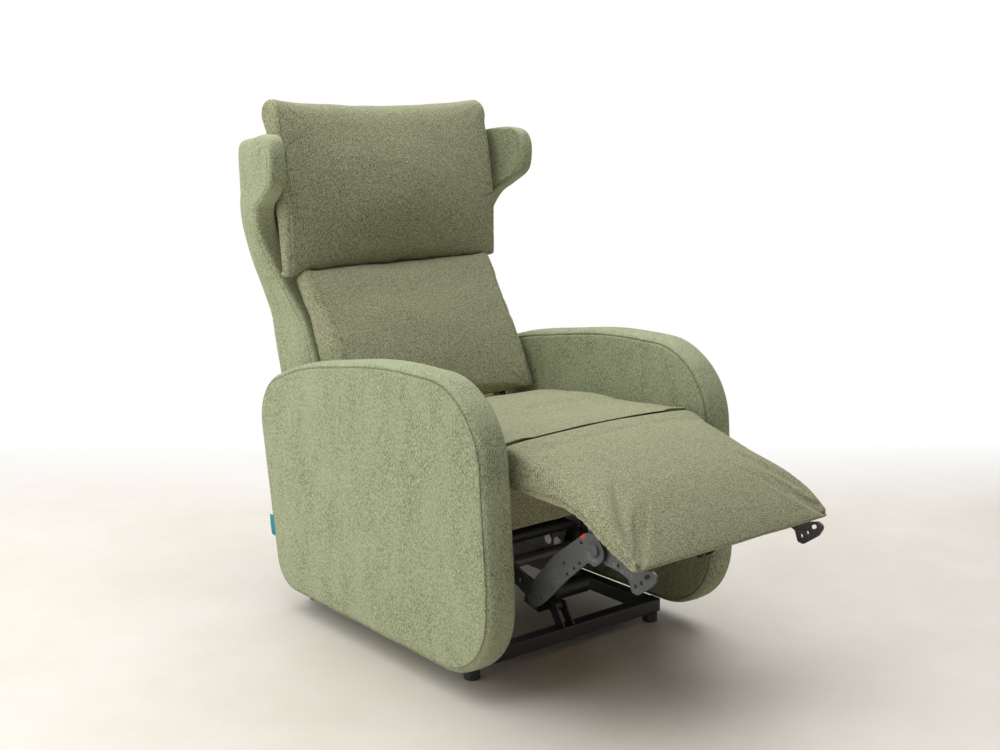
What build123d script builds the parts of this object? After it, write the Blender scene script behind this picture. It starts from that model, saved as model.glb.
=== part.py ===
from build123d import *
import math
import os

os.makedirs("parts", exist_ok=True)

# Lift recliner with wing back, legrest part open. Millimetres.
# The chair faces -Y, +X is the sitter's left, +Z is up.
# The origin lies on the floor under the middle of the steel base.

# Overall sizes
half_gap = 268.0       # middle of the seat to the inner face of either arm
arm_thick = 72.0       # thickness of an upholstered arm
arm_top = 636.0        # highest point of the arms above the floor
arm_low = 45.0         # underside of the arms
arm_front = -464.0     # front of the arms
arm_long = 861.0       # length of the arms
arm_edge = 20.0        # rounding along the edges of an arm
arm_skin = 18.0        # padding between the face of an arm and its board
back_top = 1132.0      # top of the head cushion

# Steel base
tube = 30.0            # square tube of the base
tube_wall = 2.0        # wall of that tube
tube_round = 2.5       # rounding along the edges of that tube
foot_high = 22.0       # height of the glides under the base
foot_r = tube / 2 + 2  # radius of a glide
base_front = -293.0    # middle line of the front rail
base_rear = 293.0      # middle line of the rear rail
rail_top = foot_high + tube

# Plates, pins and clearances
plate_t = 5.0          # thickness of the links
skin_t = 3.0           # thickness of the side plates
pin_r = 7.0            # radius of the link pins
head_r = 12.0          # radius of the pin heads
pin_head = 2.5         # height of the pin heads
run = 0.05             # radial running clearance of a pin
slack = 2.7            # extra radius of the loose hole of the tilt strut
plate_gap = 0.5        # gap between a pin head and the next plate
dish = 1.4             # depth of the pressed dish round a knee pin
washer_t = 1.6         # washers between the main links and the legrest brackets
washer_gap = 0.4       # gap between those washers and the dishes
bolt_room = 9.0        # room for bolt heads between side plates and main links
rail_gap = 1.0         # gap between the base rails and the arms or the links beside them

# Pivots of the lift, as (y, z)
lift_long = 295.2      # length of a lift link between pins
lift_rise = 10.0       # height of its front pin above its rear pin
p_up = (295.0, 115.0)  # upper lift link on the base
pair = (55.0, 45.0)    # step from the lower to the upper link
q_up = (p_up[0] - lift_long, p_up[1] + lift_rise)
p_low = (p_up[0] - pair[0], p_up[1] - pair[1])
q_low = (q_up[0] - pair[0], q_up[1] - pair[1])
tilt_pin = (-140.2, 213.1)
strut_low = (q_up[0] - 41.9, q_up[1] + 3.9)
strut_top = (-74.0, 224.0)

# Pivots of the legrest and the back, as (y, z)
knee = (-405.0, 462.0)   # line of the fabric knee between seat and legrest
boss = (-633.0, 355.0)   # main link on the legrest bracket
tip_r = 16.0             # round lower end of a main link
tip_room = 3.0           # room under that end as it swings over the front rail
swing = math.hypot(knee[0] - boss[0], knee[1] - boss[1])
elbow = (-463.0, rail_top + tip_room + tip_r + swing - (knee[1] - boss[1]))
drive = (knee[0] - boss[0] + elbow[0], knee[1] - boss[1] + elbow[1])
back_pin = (190.0, 400.0)
roll_r = 42.0            # radius of the rolled rear end of the legrest pad

# Linear drives
crank_lift = 100.0     # crank on the lift tube
crank_legs = 55.0      # distance of the legrest drive pin below the drive pivot
crank_back = 100.0     # crank on the back tube
crank_t = 8.0          # thickness of the cranks
drive_r = 17.0         # radius of the drive tubes
rod_r = 9.0            # radius of the drive rods
pin_d = 6.0            # radius of the drive pins

# Layers across the chair, each given by its outer face
x_rail = half_gap - 2.0
x_base = half_gap - rail_gap - tube / 2
x_main = x_base - tube / 2 - rail_gap
x_side = x_main + bolt_room + skin_t
x_inner = x_main - plate_t - dish - washer_t - washer_gap
x_carry = x_inner - plate_t - pin_head - plate_gap
x_lift = x_carry - plate_t - pin_head - plate_gap
x_strut = x_lift - plate_t - pin_head - plate_gap


def save(name, *solids):
    found = []
    for one in solids:
        found.extend(one.solids())
    if len(found) == 1:
        export_step(found[0], "parts/" + name + ".step")
    else:
        export_step(Compound(children=found), "parts/" + name + ".step")


def flip(one):
    return mirror(one, about=Plane.YZ)


def bar_x(y, z, x0, x1, r):
    return Pos((x0 + x1) / 2, y, z) * Rot(0, 90, 0) * Cylinder(r, abs(x1 - x0))


def block(x0, x1, y0, y1, z0, z1):
    middle = Pos((x0 + x1) / 2, (y0 + y1) / 2, (z0 + z1) / 2)
    return middle * Box(abs(x1 - x0), abs(y1 - y0), abs(z1 - z0))


def rounded(corners):
    # Closed outline in the side view with one radius at each corner (y, z, r).
    count = len(corners)
    starts, ends, mids = [], [], []
    for i in range(count):
        y, z, r = corners[i]
        p = Vector(y, z)
        a = (Vector(corners[i - 1][0], corners[i - 1][1]) - p).normalized()
        b = (Vector(corners[(i + 1) % count][0], corners[(i + 1) % count][1]) - p).normalized()
        half = math.acos(max(-1.0, min(1.0, a.dot(b)))) / 2
        reach = r / math.tan(half)
        into = (a + b).normalized()
        starts.append(p + a * reach)
        ends.append(p + b * reach)
        mids.append(p + into * (r / math.sin(half) - r))
    edges = []
    for i in range(count):
        edges.append(ThreePointArc(starts[i], mids[i], ends[i]))
        edges.append(Line(ends[i], starts[(i + 1) % count]))
    return make_face(Wire(edges))


def sheet_x(face, x0, x1):
    return extrude(Plane.YZ.offset(x0) * face, amount=x1 - x0)


def bar_link(p, q, wide):
    # Flat link with round ends between two pins.
    long = math.hypot(q[0] - p[0], q[1] - p[1])
    turn = math.degrees(math.atan2(q[1] - p[1], q[0] - p[0]))
    middle = Pos((p[0] + q[0]) / 2, (p[1] + q[1]) / 2)
    return middle * Rot(0, 0, turn) * SlotCenterToCenter(long, wide)


def hole(p, r):
    return Pos(p[0], p[1]) * Circle(r)


def rivet(p, x0, x1, r, wide=head_r, high=pin_head):
    # Pin with a flat head outside both of the plates that it joins.
    made = bar_x(p[0], p[1], x0 - high, x1 + high, r)
    made += bar_x(p[0], p[1], x0 - high, x0, wide)
    made += bar_x(p[0], p[1], x1, x1 + high, wide)
    return made


def spot_on(p, q, a, b):
    # Point at a step a from p towards q and a step b square to that line.
    long = math.hypot(q[0] - p[0], q[1] - p[1])
    u = ((q[0] - p[0]) / long, (q[1] - p[1]) / long)
    return (p[0] + u[0] * a + u[1] * b, p[1] + u[1] * a - u[0] * b)


def between(p, q, share):
    return (p[0] + (q[0] - p[0]) * share, p[1] + (q[1] - p[1]) * share)


def both(one):
    return [one, flip(one)]


def arc_loop(points, x):
    # Closed section of arcs at one station: end, middle, end, middle and so on.
    edges = []
    count = len(points) // 2
    for i in range(count):
        a = points[2 * i]
        m = points[2 * i + 1]
        b = points[(2 * i + 2) % len(points)]
        bend = (m[0] - a[0]) * (b[1] - a[1]) - (m[1] - a[1]) * (b[0] - a[0])
        if abs(bend) < 1.0:
            edges.append(Line((x, a[0], a[1]), (x, b[0], b[1])))
        else:
            edges.append(ThreePointArc((x, a[0], a[1]), (x, m[0], m[1]), (x, b[0], b[1])))
    return Face(Wire(edges))


def stations(half, edge, crown, depth):
    # Places across a cushion with the crown and the drawn-in depth at each of them.
    made = []
    for t in (1.0, 0.93, 0.75, 0.4, 0.0):
        x = half - edge * (1 - t)
        made.append((x, crown * (1 - (x / half) ** 2), depth * (1 - math.sqrt(1 - t * t))))
    for part in (0.72, 0.48, 0.24):
        made.append((half * part, crown * (1 - part ** 2), 0.0))
    left = [(-x, c, d) for x, c, d in made]
    return left + [(0.0, crown, 0.0)] + made[::-1]


def turned(v, angle):
    c = math.cos(math.radians(angle))
    s = math.sin(math.radians(angle))
    return (v[0] * c - v[1] * s, v[0] * s + v[1] * c)


# Steel base: four square tubes, glides and end caps
half_base = x_base + tube / 2
cap_fit = 0.1
cap_deep = 10.0
cap_lid = 1.5
glide_edge = 3.0


def tube_x(y):
    outer = block(-half_base, half_base, y - tube / 2, y + tube / 2, foot_high, rail_top)
    inner = block(
        -half_base, half_base,
        y - tube / 2 + tube_wall, y + tube / 2 - tube_wall,
        foot_high + tube_wall, rail_top - tube_wall,
    )
    return fillet(outer.edges().filter_by(Axis.X), tube_round) - inner


save("base_front_rail", tube_x(base_front))
save("base_rear_rail", tube_x(base_rear))
side_rails = []
for side in (-1, 1):
    y0 = base_front + tube / 2
    y1 = base_rear - tube / 2
    x0 = side * x_base - tube / 2
    x1 = side * x_base + tube / 2
    outer = block(x0, x1, y0, y1, foot_high, rail_top)
    inner = block(x0 + tube_wall, x1 - tube_wall, y0, y1, foot_high + tube_wall, rail_top - tube_wall)
    side_rails.append(fillet(outer.edges().filter_by(Axis.Y), tube_round) - inner)
save("base_side_rails", *side_rails)

feet = []
caps = []
plug_half = tube / 2 - tube_wall - cap_fit
for side in (-1, 1):
    for y in (base_front, base_rear):
        glide = Pos(side * x_base, y, foot_high / 2) * Cylinder(foot_r, foot_high)
        feet.append(fillet(glide.edges().sort_by(Axis.Z)[0], glide_edge))
        z = foot_high + tube / 2
        plug = block(
            side * (half_base - cap_deep), side * half_base,
            y - plug_half, y + plug_half, z - plug_half, z + plug_half,
        )
        lid = block(
            side * half_base, side * (half_base + cap_lid),
            y - tube / 2, y + tube / 2, foot_high, rail_top,
        )
        caps.append(plug + fillet(lid.edges().filter_by(Axis.X), tube_round))
save("base_feet", *feet)
save("base_end_caps", *caps)

# Lift brackets that stand on the rear rail and carry both links of each side
lug = rounded([
    (base_rear + tube / 2, rail_top, 4),
    (base_rear + tube / 2, p_up[1] + 18, 14), (p_up[0] - 22, p_up[1] + 18, 14),
    (p_low[0] - 22, p_low[1] + 14, 12), (p_low[0] - 24, rail_top, 4),
])
lug = lug - hole(p_up, pin_r + run) - hole(p_low, pin_r + run)
lug = sheet_x(lug, x_carry - plate_t, x_carry)
save("lift_brackets", *both(lug))

# Lift links: the upper pair carries the crank tube, the lower pair keeps the carriage level
upper_wide = 38.0
lower_wide = 32.0
strut_wide = 30.0
relief_r = 8.0
upper = bar_link(p_up, q_up, upper_wide) + bar_link(q_up, strut_low, upper_wide - 4)
upper = upper - hole(p_up, pin_r + run) - hole(q_up, pin_r + run) - hole(strut_low, pin_d + run)
for share in (0.3, 0.5, 0.7):
    upper = upper - hole(between(p_up, q_up, share), relief_r)
upper = sheet_x(upper, x_lift - plate_t, x_lift)
save("lift_links", *both(upper))
lower = bar_link(p_low, q_low, lower_wide) - hole(p_low, pin_r + run) - hole(q_low, pin_r + run)
lower = sheet_x(lower, x_lift - plate_t, x_lift)
save("guide_links", *both(lower))

bore_r = 13.0          # bore of the lift, carriage and back tubes
lift_tube_r = 17.0
pivot_tube_r = 16.0
weld = 0.5             # depth that a crank reaches into its tube
slot_end = 1.5         # spare length at either end of a crank slot
slot_room = 1.4        # spare width of a crank slot
lift_axis = (-262.0, 85.0)
lift_mid = 19.0
seek = math.atan2(p_up[1] + crank_lift - lift_axis[1], p_up[0] - lift_axis[0])
for again in range(8):
    tip = turned((crank_lift, 0), math.degrees(seek) + 90.0)
    seek = math.atan2(p_up[1] + tip[1] - lift_axis[1], p_up[0] + tip[0] - lift_axis[0])
lift_slope = math.degrees(seek)
lift_span = math.hypot(p_up[0] + tip[0] - lift_axis[0], p_up[1] + tip[1] - lift_axis[1])


def crank_plate(centre, angle, near, far, root_r):
    # Flat crank with a slot along its length for the drive pin.
    slot_wide = 2 * pin_d + slot_room
    a = turned((near, 0), angle)
    b = turned((far, 0), angle)
    start = (centre[0] + a[0], centre[1] + a[1])
    end = (centre[0] + b[0], centre[1] + b[1])
    made = bar_link(centre, end, slot_wide + 2 * crank_t) - hole(centre, root_r)
    return made - bar_link(start, end, slot_wide)


x_in = x_lift - plate_t
lift_tube = bar_x(p_up[0], p_up[1], -x_in, x_in, lift_tube_r) - bar_x(p_up[0], p_up[1], -x_in, x_in, bore_r)
lift_crank = crank_plate(
    p_up, lift_slope + 90.0 + lift_mid, crank_lift - slot_end,
    crank_lift / math.cos(math.radians(lift_mid)) + slot_end, lift_tube_r - weld,
)
lift_crank = sheet_x(lift_crank, -crank_t / 2, crank_t / 2)
save("lift_tube", lift_tube + lift_crank)

# Carriage between the lift links and the chair
carry = rounded([
    (q_low[0] - 24, q_low[1] - 18, 14), (q_low[0] + 14, q_low[1] - 20, 14),
    (q_up[0] + 20, q_up[1] - 14, 14), (q_up[0] + 18, q_up[1] + 18, 14),
    (tilt_pin[0] + 20, tilt_pin[1] + 14, 14), (tilt_pin[0] - 18, tilt_pin[1] + 18, 14),
    (tilt_pin[0] - 18, tilt_pin[1] - 24, 14),
])
for spot in (q_up, q_low, tilt_pin):
    carry = carry - hole(spot, pin_r + run)
carry = sheet_x(carry, x_carry - plate_t, x_carry)
save("carriage_plates", *both(carry))
x_in = x_carry - plate_t
carry_tube = bar_x(tilt_pin[0], tilt_pin[1], -x_in, x_in, pivot_tube_r)
carry_tube = carry_tube - bar_x(tilt_pin[0], tilt_pin[1], -x_in, x_in, bore_r)
save("carriage_tube", carry_tube)

strut = bar_link(strut_low, strut_top, strut_wide)
strut = strut - hole(strut_low, pin_d + slack) - hole(strut_top, pin_d + run)
strut = sheet_x(strut, x_strut - plate_t, x_strut)
save("tilt_struts", *both(strut))

pins_base = []
pins_carry = []
for spot in (p_up, p_low):
    pins_base += both(rivet(spot, x_lift - plate_t, x_carry, pin_r))
for spot in (q_up, q_low):
    pins_carry += both(rivet(spot, x_lift - plate_t, x_carry, pin_r))
save("base_pins", *pins_base)
save("carriage_pins", *pins_carry)
save("strut_pins", *both(rivet(strut_low, x_strut - plate_t, x_lift, pin_d, head_r + 1)))

# Side plates of the chair with the pivots of carriage, legrest and back
plate_face = rounded([
    (-418, 316, 8), (-330, 316, 20), (-330, 392, 8), (158, 392, 14), (168, 428, 12),
    (213, 428, 14), (222, 386, 16), (204, 362, 20), (120, 318, 30), (20, 300, 30),
    (-34, 246, 20), (-50, 194, 14), (-160, 178, 16), (-188, 222, 20), (-208, 274, 20),
    (-418, 272, 8),
])
front_bolt = (-400.0, 294.0)
front_bolt_r = 5.0
arm_bolt_r = 4.0
bolt_spots = [(-270.0, 376.0), (-100.0, 376.0), (90.0, 376.0)]
plate_hole_r = 9.0
plate_holes = [(-350, 300), (-290, 300), (-160, 290), (-90, 300), (-20, 350), (60, 340)]
for spot in (tilt_pin, drive, back_pin):
    plate_face = plate_face - hole(spot, pin_r + run)
plate_face = plate_face - hole(strut_top, pin_d + run) - hole(front_bolt, front_bolt_r + run)
for spot in plate_holes:
    plate_face = plate_face - hole(spot, plate_hole_r)
for spot in bolt_spots:
    plate_face = plate_face - hole(spot, arm_bolt_r + run)
x_in = x_side - skin_t
save("side_plates", *both(sheet_x(plate_face, x_in, x_side)))

sleeve_r = 10.0        # spacer sleeves on the pins
sleeve_gap = 0.4       # gap between a sleeve and the link beside it
chair_pins = both(rivet(tilt_pin, x_carry - plate_t, x_side, pin_r))
for spot, layer, r in ((drive, x_inner, pin_r), (strut_top, x_strut, pin_d)):
    sleeve = bar_x(spot[0], spot[1], layer + sleeve_gap, x_in, sleeve_r)
    chair_pins += both(rivet(spot, layer - plate_t, x_side, r) + sleeve)
save("chair_pins", *chair_pins)
save("front_bolts", *both(rivet(front_bolt, x_in, x_side, front_bolt_r, 9.0, 3.5)))

# Cross tubes that tie the side plates
tie_r = 12.7
tie_wall = 2.0
tie_front = (-290.0, 365.0)
tie_rear = (110.0, 352.0)
ties = []
for y, z in (tie_front, tie_rear):
    ties.append(bar_x(y, z, -x_in, x_in, tie_r) - bar_x(y, z, -x_in, x_in, tie_r - tie_wall))
save("tie_tubes", *ties)

# Wooden seat frame and webbing
wood_low = 345.0
wood_top = 408.0
wood_t = 22.0          # thickness of the front and rear rails
front_y = -318.0
rear_y = 150.0
strap_t = 2.4
strap_wide = 60.0
strap_count = 5
side_wood = block(x_side, x_rail, front_y, rear_y, wood_low, wood_top)
for y, z in bolt_spots:
    side_wood = side_wood - bar_x(y, z, x_side - 1, x_rail + 1, arm_bolt_r + run)
save("seat_rails_side", *both(side_wood))
save("seat_rail_front", block(-x_in, x_in, front_y - wood_t, front_y, wood_low - 10, wood_top))
save("seat_rail_rear", block(-x_in, x_in, rear_y - wood_t, rear_y, wood_low + 15, wood_top))
straps = []
strap_step = 2 * (x_in - strap_wide / 2) / (strap_count + 0.5)
for i in range(strap_count):
    x = (i - (strap_count - 1) / 2) * strap_step
    straps.append(block(
        x - strap_wide / 2, x + strap_wide / 2, front_y - wood_t, rear_y, wood_top, wood_top + strap_t,
    ))
save("seat_webbing", *straps)

# Legrest drive links with a cross tube and a slotted crank
drive_wide = 34.0
drive_hole_r = 6.0
legs_tube_r = 12.0
legs_tube_bore = 10.0
legs_mid = 23.0
legs_far = 43.5        # half of the turn that the slot has to follow
legs_x = 70.0
legs_room = 6.6        # spare width of this slot
legs_rate = crank_legs * 1.1745
legs_pin_y = drive[0] - legs_rate * math.radians(legs_mid)
tube_at = between(drive, elbow, 0.6)
drive_face = bar_link(drive, elbow, drive_wide) - hole(drive, pin_r + run) - hole(elbow, pin_r + run)
for share in (0.2, 0.4, 0.8):
    drive_face = drive_face - hole(between(drive, elbow, share), drive_hole_r)
save("drive_links", *both(sheet_x(drive_face, x_inner - plate_t, x_inner)))
x_in = x_inner - plate_t
slot_near = turned((crank_legs - 2.0, 0), 270.0 - legs_mid)
slot_far = turned((crank_legs / math.cos(math.radians(legs_far)) + 2.0, 0), 270.0 - legs_mid)
near = (drive[0] + slot_near[0], drive[1] + slot_near[1])
far = (drive[0] + slot_far[0], drive[1] + slot_far[1])
slot_wide = 2 * pin_d + legs_room
legs_plate = bar_link(near, far, slot_wide + 2 * crank_t) + bar_link(far, tube_at, 30)
legs_plate = legs_plate - bar_link(near, far, slot_wide)
legs_plate = sheet_x(legs_plate, legs_x - crank_t / 2, legs_x + crank_t / 2)
legs_tube = bar_x(tube_at[0], tube_at[1], -x_in, x_in, legs_tube_r)
save("drive_tube", (legs_tube + legs_plate) - bar_x(tube_at[0], tube_at[1], -x_in, x_in, legs_tube_bore))

# Main links: wide pressed plates with a dish round the knee pin and a round lower end
main_long = math.hypot(boss[0] - elbow[0], boss[1] - elbow[1])
dish_r = 21.0          # radius of the dish at its rim
dish_floor = 14.0      # radius of its flat floor
stud_r = 4.0
main_corners = [
    (-tip_r, -tip_r, tip_r - 1), (24, -20, 30), (120, -11, 80), (main_long - 28, -9, 10),
    (main_long - 17, -24, 8), (main_long + 24, -24, 22), (main_long + 24, 24, 22),
    (main_long - 2, 38, 8), (112, 41, 60), (40, 31, 60), (-tip_r, 15, tip_r - 2),
]
main_face = rounded([(*spot_on(elbow, boss, a, b), r) for a, b, r in main_corners])
stud = spot_on(elbow, boss, 62, -4)
main_face = main_face - hole(boss, pin_r + run) - hole(elbow, pin_r + run) - hole(stud, stud_r + run)
for a, b in ((23, -8), (124, -3), (129, 18), (149, -2), (169, -1), (main_long - 22, 28)):
    main_face = main_face - hole(spot_on(elbow, boss, a, b), 3.5)
main_link = sheet_x(main_face, x_main - plate_t, x_main)
hollow = Pos(x_main - dish / 2, *boss) * Rot(0, 90, 0) * Cone(dish_floor, dish_r, dish)
swell = Pos(x_main - plate_t - dish / 2, *boss) * Rot(0, 90, 0) * Cone(dish_floor - 1, dish_r - 1, dish)
main_link = main_link - hollow + (swell - bar_x(boss[0], boss[1], x_inner, x_main, pin_r + run))
save("main_links", *both(main_link))
elbow_pin = rivet(elbow, x_inner - plate_t, x_main, pin_r)
elbow_pin += bar_x(elbow[0], elbow[1], x_inner + sleeve_gap / 2, x_main - plate_t, sleeve_r)
save("elbow_pins", *both(elbow_pin), *both(rivet(stud, x_main - plate_t, x_main, stud_r, 6.0, 1.5)))

# Legrest pad: a crowned board pad with a rolled rear end that turns at the fabric knee
pad_half = half_gap - 17.0
pad_crown = 14.0
board_t = 13.0
board_gap = 0.4
board_half = pad_half - 8.5


def pad_section(x, crown, s):
    r = roll_r - s
    spots = [turned((r, 0), angle) for angle in (102.0, 52.0, 2.0, 317.0, 263.0)]
    roll = [(knee[0] + y, knee[1] + z) for y, z in spots]
    return arc_loop([
        roll[0], (-530, 472 + crown - s), (-648, 440 + crown - s), (-712, 414 + crown * 0.8 - s),
        (-762, 378 + s * 0.3), (-770 + s, 362), (-757, 352 + s * 0.2), (-712, 369.5 + s * 0.4),
        (-664, 387 + s * 0.4), (-612, 407 + s * 0.4), (-556, 419 + s * 0.4), (-482, 421 + s * 0.3),
        roll[4], roll[3], roll[2], roll[1],
    ], x)


board_low = [(-440, 424), (-556, 424), (-664, 391), (-738, 364)]
board_up = [(y, z + board_t) for y, z in reversed(board_low)]
recess_low = [(y, z - 24) for y, z in board_low]
recess_up = [(y, z + board_gap) for y, z in board_up]
pad = loft([pad_section(*one) for one in stations(pad_half, 14.0, pad_crown, 9.0)], ruled=True)
recess = offset(make_face(Polyline(*recess_low, *recess_up, close=True)), amount=0.5, kind=Kind.INTERSECTION)
pad = pad - sheet_x(recess, -board_half - 0.5, board_half + 0.5)
save("legrest_pad", pad)
board_face = make_face(Polyline(*board_low, *board_up, close=True))
save("legrest_board", sheet_x(board_face, -board_half, board_half))

# Legrest brackets fixed to the board, with the pins and washers of the main links
seat_b = 0.3           # gap between a bracket and the board above it
bracket_face = rounded([
    (boss[0] + 19, boss[1] - 18, 15), (-692, 330, 40), (-715, 322, 8), (-723, 301, 6), (-737, 299, 8),
    (-773, 325, 8), (-786, 347, 8), (-770, 353, 6), (-742, 346, 6), (-735, 365 - seat_b, 1),
    (-664, 391 - seat_b, 4), (-600, 410.5 - seat_b, 2), (boss[0] + 23, boss[1] + 22, 12),
])
bracket_face = bracket_face - hole(boss, pin_r + run)
bracket_face = bracket_face - bar_link((-764, 342), (-757, 338), 8)
for spot in ((-688, 342), (-746, 325), (-732, 315)):
    bracket_face = bracket_face - hole(spot, 4)
save("legrest_brackets", *both(sheet_x(bracket_face, x_inner - plate_t, x_inner)))
dome = 3.0
knee_pins = []
washers = []
for side in (-1, 1):
    pin = bar_x(boss[0], boss[1], x_inner - plate_t - pin_head, x_main - dish, pin_r)
    pin += bar_x(boss[0], boss[1], x_inner - plate_t - pin_head, x_inner - plate_t, head_r)
    cap = bar_x(boss[0], boss[1], x_main - dish, x_main - dish + dome + 1, head_r - 1)
    pin += fillet(cap.edges().sort_by(Axis.X)[-1], dome)
    ring = bar_x(boss[0], boss[1], x_inner, x_inner + washer_t, head_r + 4)
    ring -= bar_x(boss[0], boss[1], x_inner, x_inner + washer_t, pin_r + run)
    knee_pins.append(pin if side > 0 else flip(pin))
    washers.append(ring if side > 0 else flip(ring))
save("knee_pins", *knee_pins)
save("knee_washers", *washers)

# Seat cushion: crowned, hollowed in front around the roll of the legrest, with two sewn channels
# and a lower tongue behind that runs under the lumbar cushion
seat_half = half_gap - 5.0
seat_low = wood_top + strap_t + 0.4
seat_crown = 16.0
roll_gap = 1.8         # gap between the roll of the legrest and the hollow of the seat
channel_r = 9.0
channel_deep = 2.5


def seat_section(x, crown, s):
    reach = roll_r + roll_gap
    spots = [turned((reach, 0), angle) for angle in (88.0 - s * 4.0, 44.0 - s * 2.0, 0.0)]
    lip, cup, chin = [(knee[0] + y, knee[1] + z) for y, z in spots]
    return arc_loop([
        lip, cup, chin, (chin[0] + 0.6 + s * 0.5, 440),
        (chin[0] + 2 + s, seat_low + s), (-140, seat_low + s * 0.5),
        (rear_y - 4 - s, seat_low + s), (rear_y - s, 430),
        (rear_y - 9 - s, 445 - s), (122, 447 - s),
        (98, 452 - s + crown * 0.2), (-60, 470 + crown - s),
        (-230, 484 + crown - s), (-330, 500 + crown * 0.6 - s),
    ], x)


seat = loft([seat_section(*one) for one in stations(seat_half, 14.0, seat_crown, 8.0)], ruled=True)
for y, z in ((-205, 503), (-60, 486)):
    seat = seat - bar_x(y, z + channel_r - channel_deep, -seat_half - 2, seat_half + 2, channel_r)
save("seat_cushion", seat)

# Fascia under the front of the seat, with an apron between the drive links
fascia_t = 10.0
fascia_low = 335.0
apron_low = 314.0
apron_half = x_inner - plate_t - 8.0
fascia_y = front_y - wood_t
fascia = block(-half_gap + 3, half_gap - 3, fascia_y - fascia_t, fascia_y, fascia_low, seat_low - 0.4)
fascia = fascia + block(-apron_half, apron_half, fascia_y - fascia_t, fascia_y, apron_low, fascia_low)
front_edges = fascia.edges().filter_by(Axis.X).group_by(Axis.Y)[0]
save("front_fascia", fillet(front_edges.group_by(Axis.Z)[0] + front_edges.group_by(Axis.Z)[-1], 4.0))

# Arms: a padded cover, open underneath, over a board with two openings
arm_rear = arm_front + arm_long
board_room = 4.0       # extra depth of the hollow in a cover round its board
board_fit = 0.4        # gap between a board and the padding on either side
arm_face = rounded([
    (arm_front + 36, arm_top + 1, 175), (arm_front + 354, arm_top, 1200),
    (arm_front + 664, arm_top - 51, 700), (arm_rear - 2, arm_top - 130, 120),
    (arm_rear - 81, arm_low, 80), (arm_front + 4, arm_low, 150), (arm_front + 3, 240, 400),
])
x_a = half_gap
x_b = half_gap + arm_thick
cover = sheet_x(arm_face, x_a, x_b)
rims = cover.faces().sort_by(Axis.X)[0].edges() + cover.faces().sort_by(Axis.X)[-1].edges()
cover = fillet(rims, arm_edge)
cover = cover - sheet_x(offset(arm_face, amount=-arm_skin - board_room), x_a + arm_skin, x_b - arm_skin)
mouth_front = arm_front + 164.0
mouth_rear = arm_rear - 157.0
mouth_top = arm_low + arm_skin + 30.0
cover = cover - block(x_a + arm_skin, x_b - arm_skin, mouth_front, mouth_rear, 0, mouth_top)
board_arm = offset(arm_face, amount=-arm_skin - board_room - 1)
board_solid = sheet_x(board_arm, x_a + arm_skin + board_fit, x_b - arm_skin - board_fit)
window_low = 180.0
window_top = arm_top - 160.0
for y0, y1 in ((arm_front + 124, arm_front + 404), (arm_front + 484, arm_rear - 117)):
    window = rounded([(y0, window_low, 30), (y1, window_low, 30), (y1, window_top, 30), (y0, window_top, 30)])
    board_solid = board_solid - sheet_x(window, x_a, x_b)

# Bolts from the side plates through the seat rails into the arm boards
bolts = []
bolt_end = x_a + arm_skin + 16.0
bolt_head = 4.0
x_in = x_side - skin_t
for y, z in bolt_spots:
    bore = bar_x(y, z, x_a - 1, bolt_end + 0.5, arm_bolt_r + run)
    cover = cover - bore
    board_solid = board_solid - bore
    shank = bar_x(y, z, x_in - bolt_head, bolt_end, arm_bolt_r)
    bolts.extend(both(shank + bar_x(y, z, x_in - bolt_head, x_in, 2 * arm_bolt_r)))
save("arm_bolts", *bolts)

# Switch panel on the inner face of the sitter's right arm, with two sprung buttons
panel_y = -250.0
panel_z = arm_top - 91.0
panel_long = 92.0
panel_high = 44.0
panel_lip = 3.0        # thickness of the rim that lies on the arm
panel_deep = 26.0      # depth of the box behind it
rim_y = 8.0            # width of the rim at the ends and along the sides
rim_z = 6.0
bay_gap = 0.4          # gap between the box and its bay in the arm
button_wide = 30.0
button_high = 28.0
button_step = 19.0     # button to the middle of the panel
button_proud = 7.0
button_gap = 0.4
travel_room = 3.5      # room behind a button
pocket_deep = 16.0
stem_r = 3.0
x_face = -x_a
half_y = panel_long / 2
half_z = panel_high / 2
panel = block(
    x_face, x_face + panel_lip, panel_y - half_y, panel_y + half_y, panel_z - half_z, panel_z + half_z,
)
panel = fillet(panel.edges().filter_by(Axis.X), 8.0)
panel = panel + block(
    x_face - panel_deep, x_face, panel_y - half_y + rim_y, panel_y + half_y - rim_y,
    panel_z - half_z + rim_z, panel_z + half_z - rim_z,
)
bay_y = half_y - rim_y + bay_gap
bay_z = half_z - rim_z + bay_gap
bay = block(
    x_face - panel_deep - bay_gap, x_face + 1, panel_y - bay_y, panel_y + bay_y,
    panel_z - bay_z, panel_z + bay_z,
)
cover_right = flip(cover) - bay
board_right = flip(board_solid) - bay
buttons = []
for y in (panel_y - button_step, panel_y + button_step):
    pocket_y = button_wide / 2 + button_gap
    pocket_z = button_high / 2 + button_gap
    panel = panel - block(
        x_face - pocket_deep, x_face + panel_lip + 1, y - pocket_y, y + pocket_y,
        panel_z - pocket_z, panel_z + pocket_z,
    )
    key = block(
        x_face - pocket_deep + travel_room, x_face + button_proud, y - button_wide / 2, y + button_wide / 2,
        panel_z - button_high / 2, panel_z + button_high / 2,
    )
    key = fillet(key.edges().filter_by(Axis.X), 5.0)
    stem = bar_x(y, panel_z, x_face - pocket_deep - 6, x_face - pocket_deep + travel_room + 1, stem_r)
    panel = panel - bar_x(y, panel_z, x_face - panel_deep - 1, x_face - pocket_deep + 1, stem_r + run)
    buttons.append(key + stem)
save("switch_panel", panel)
save("button_rise", buttons[0])
save("button_recline", buttons[1])
save("arm_cover_left", cover)
save("arm_cover_right", cover_right)
save("arm_boards", board_solid, board_right)

# Back: bent wooden posts, rails, webbing, pivot tube with a slotted crank, and steel brackets
rise = (back_top - 600.0) / 532.0


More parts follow.
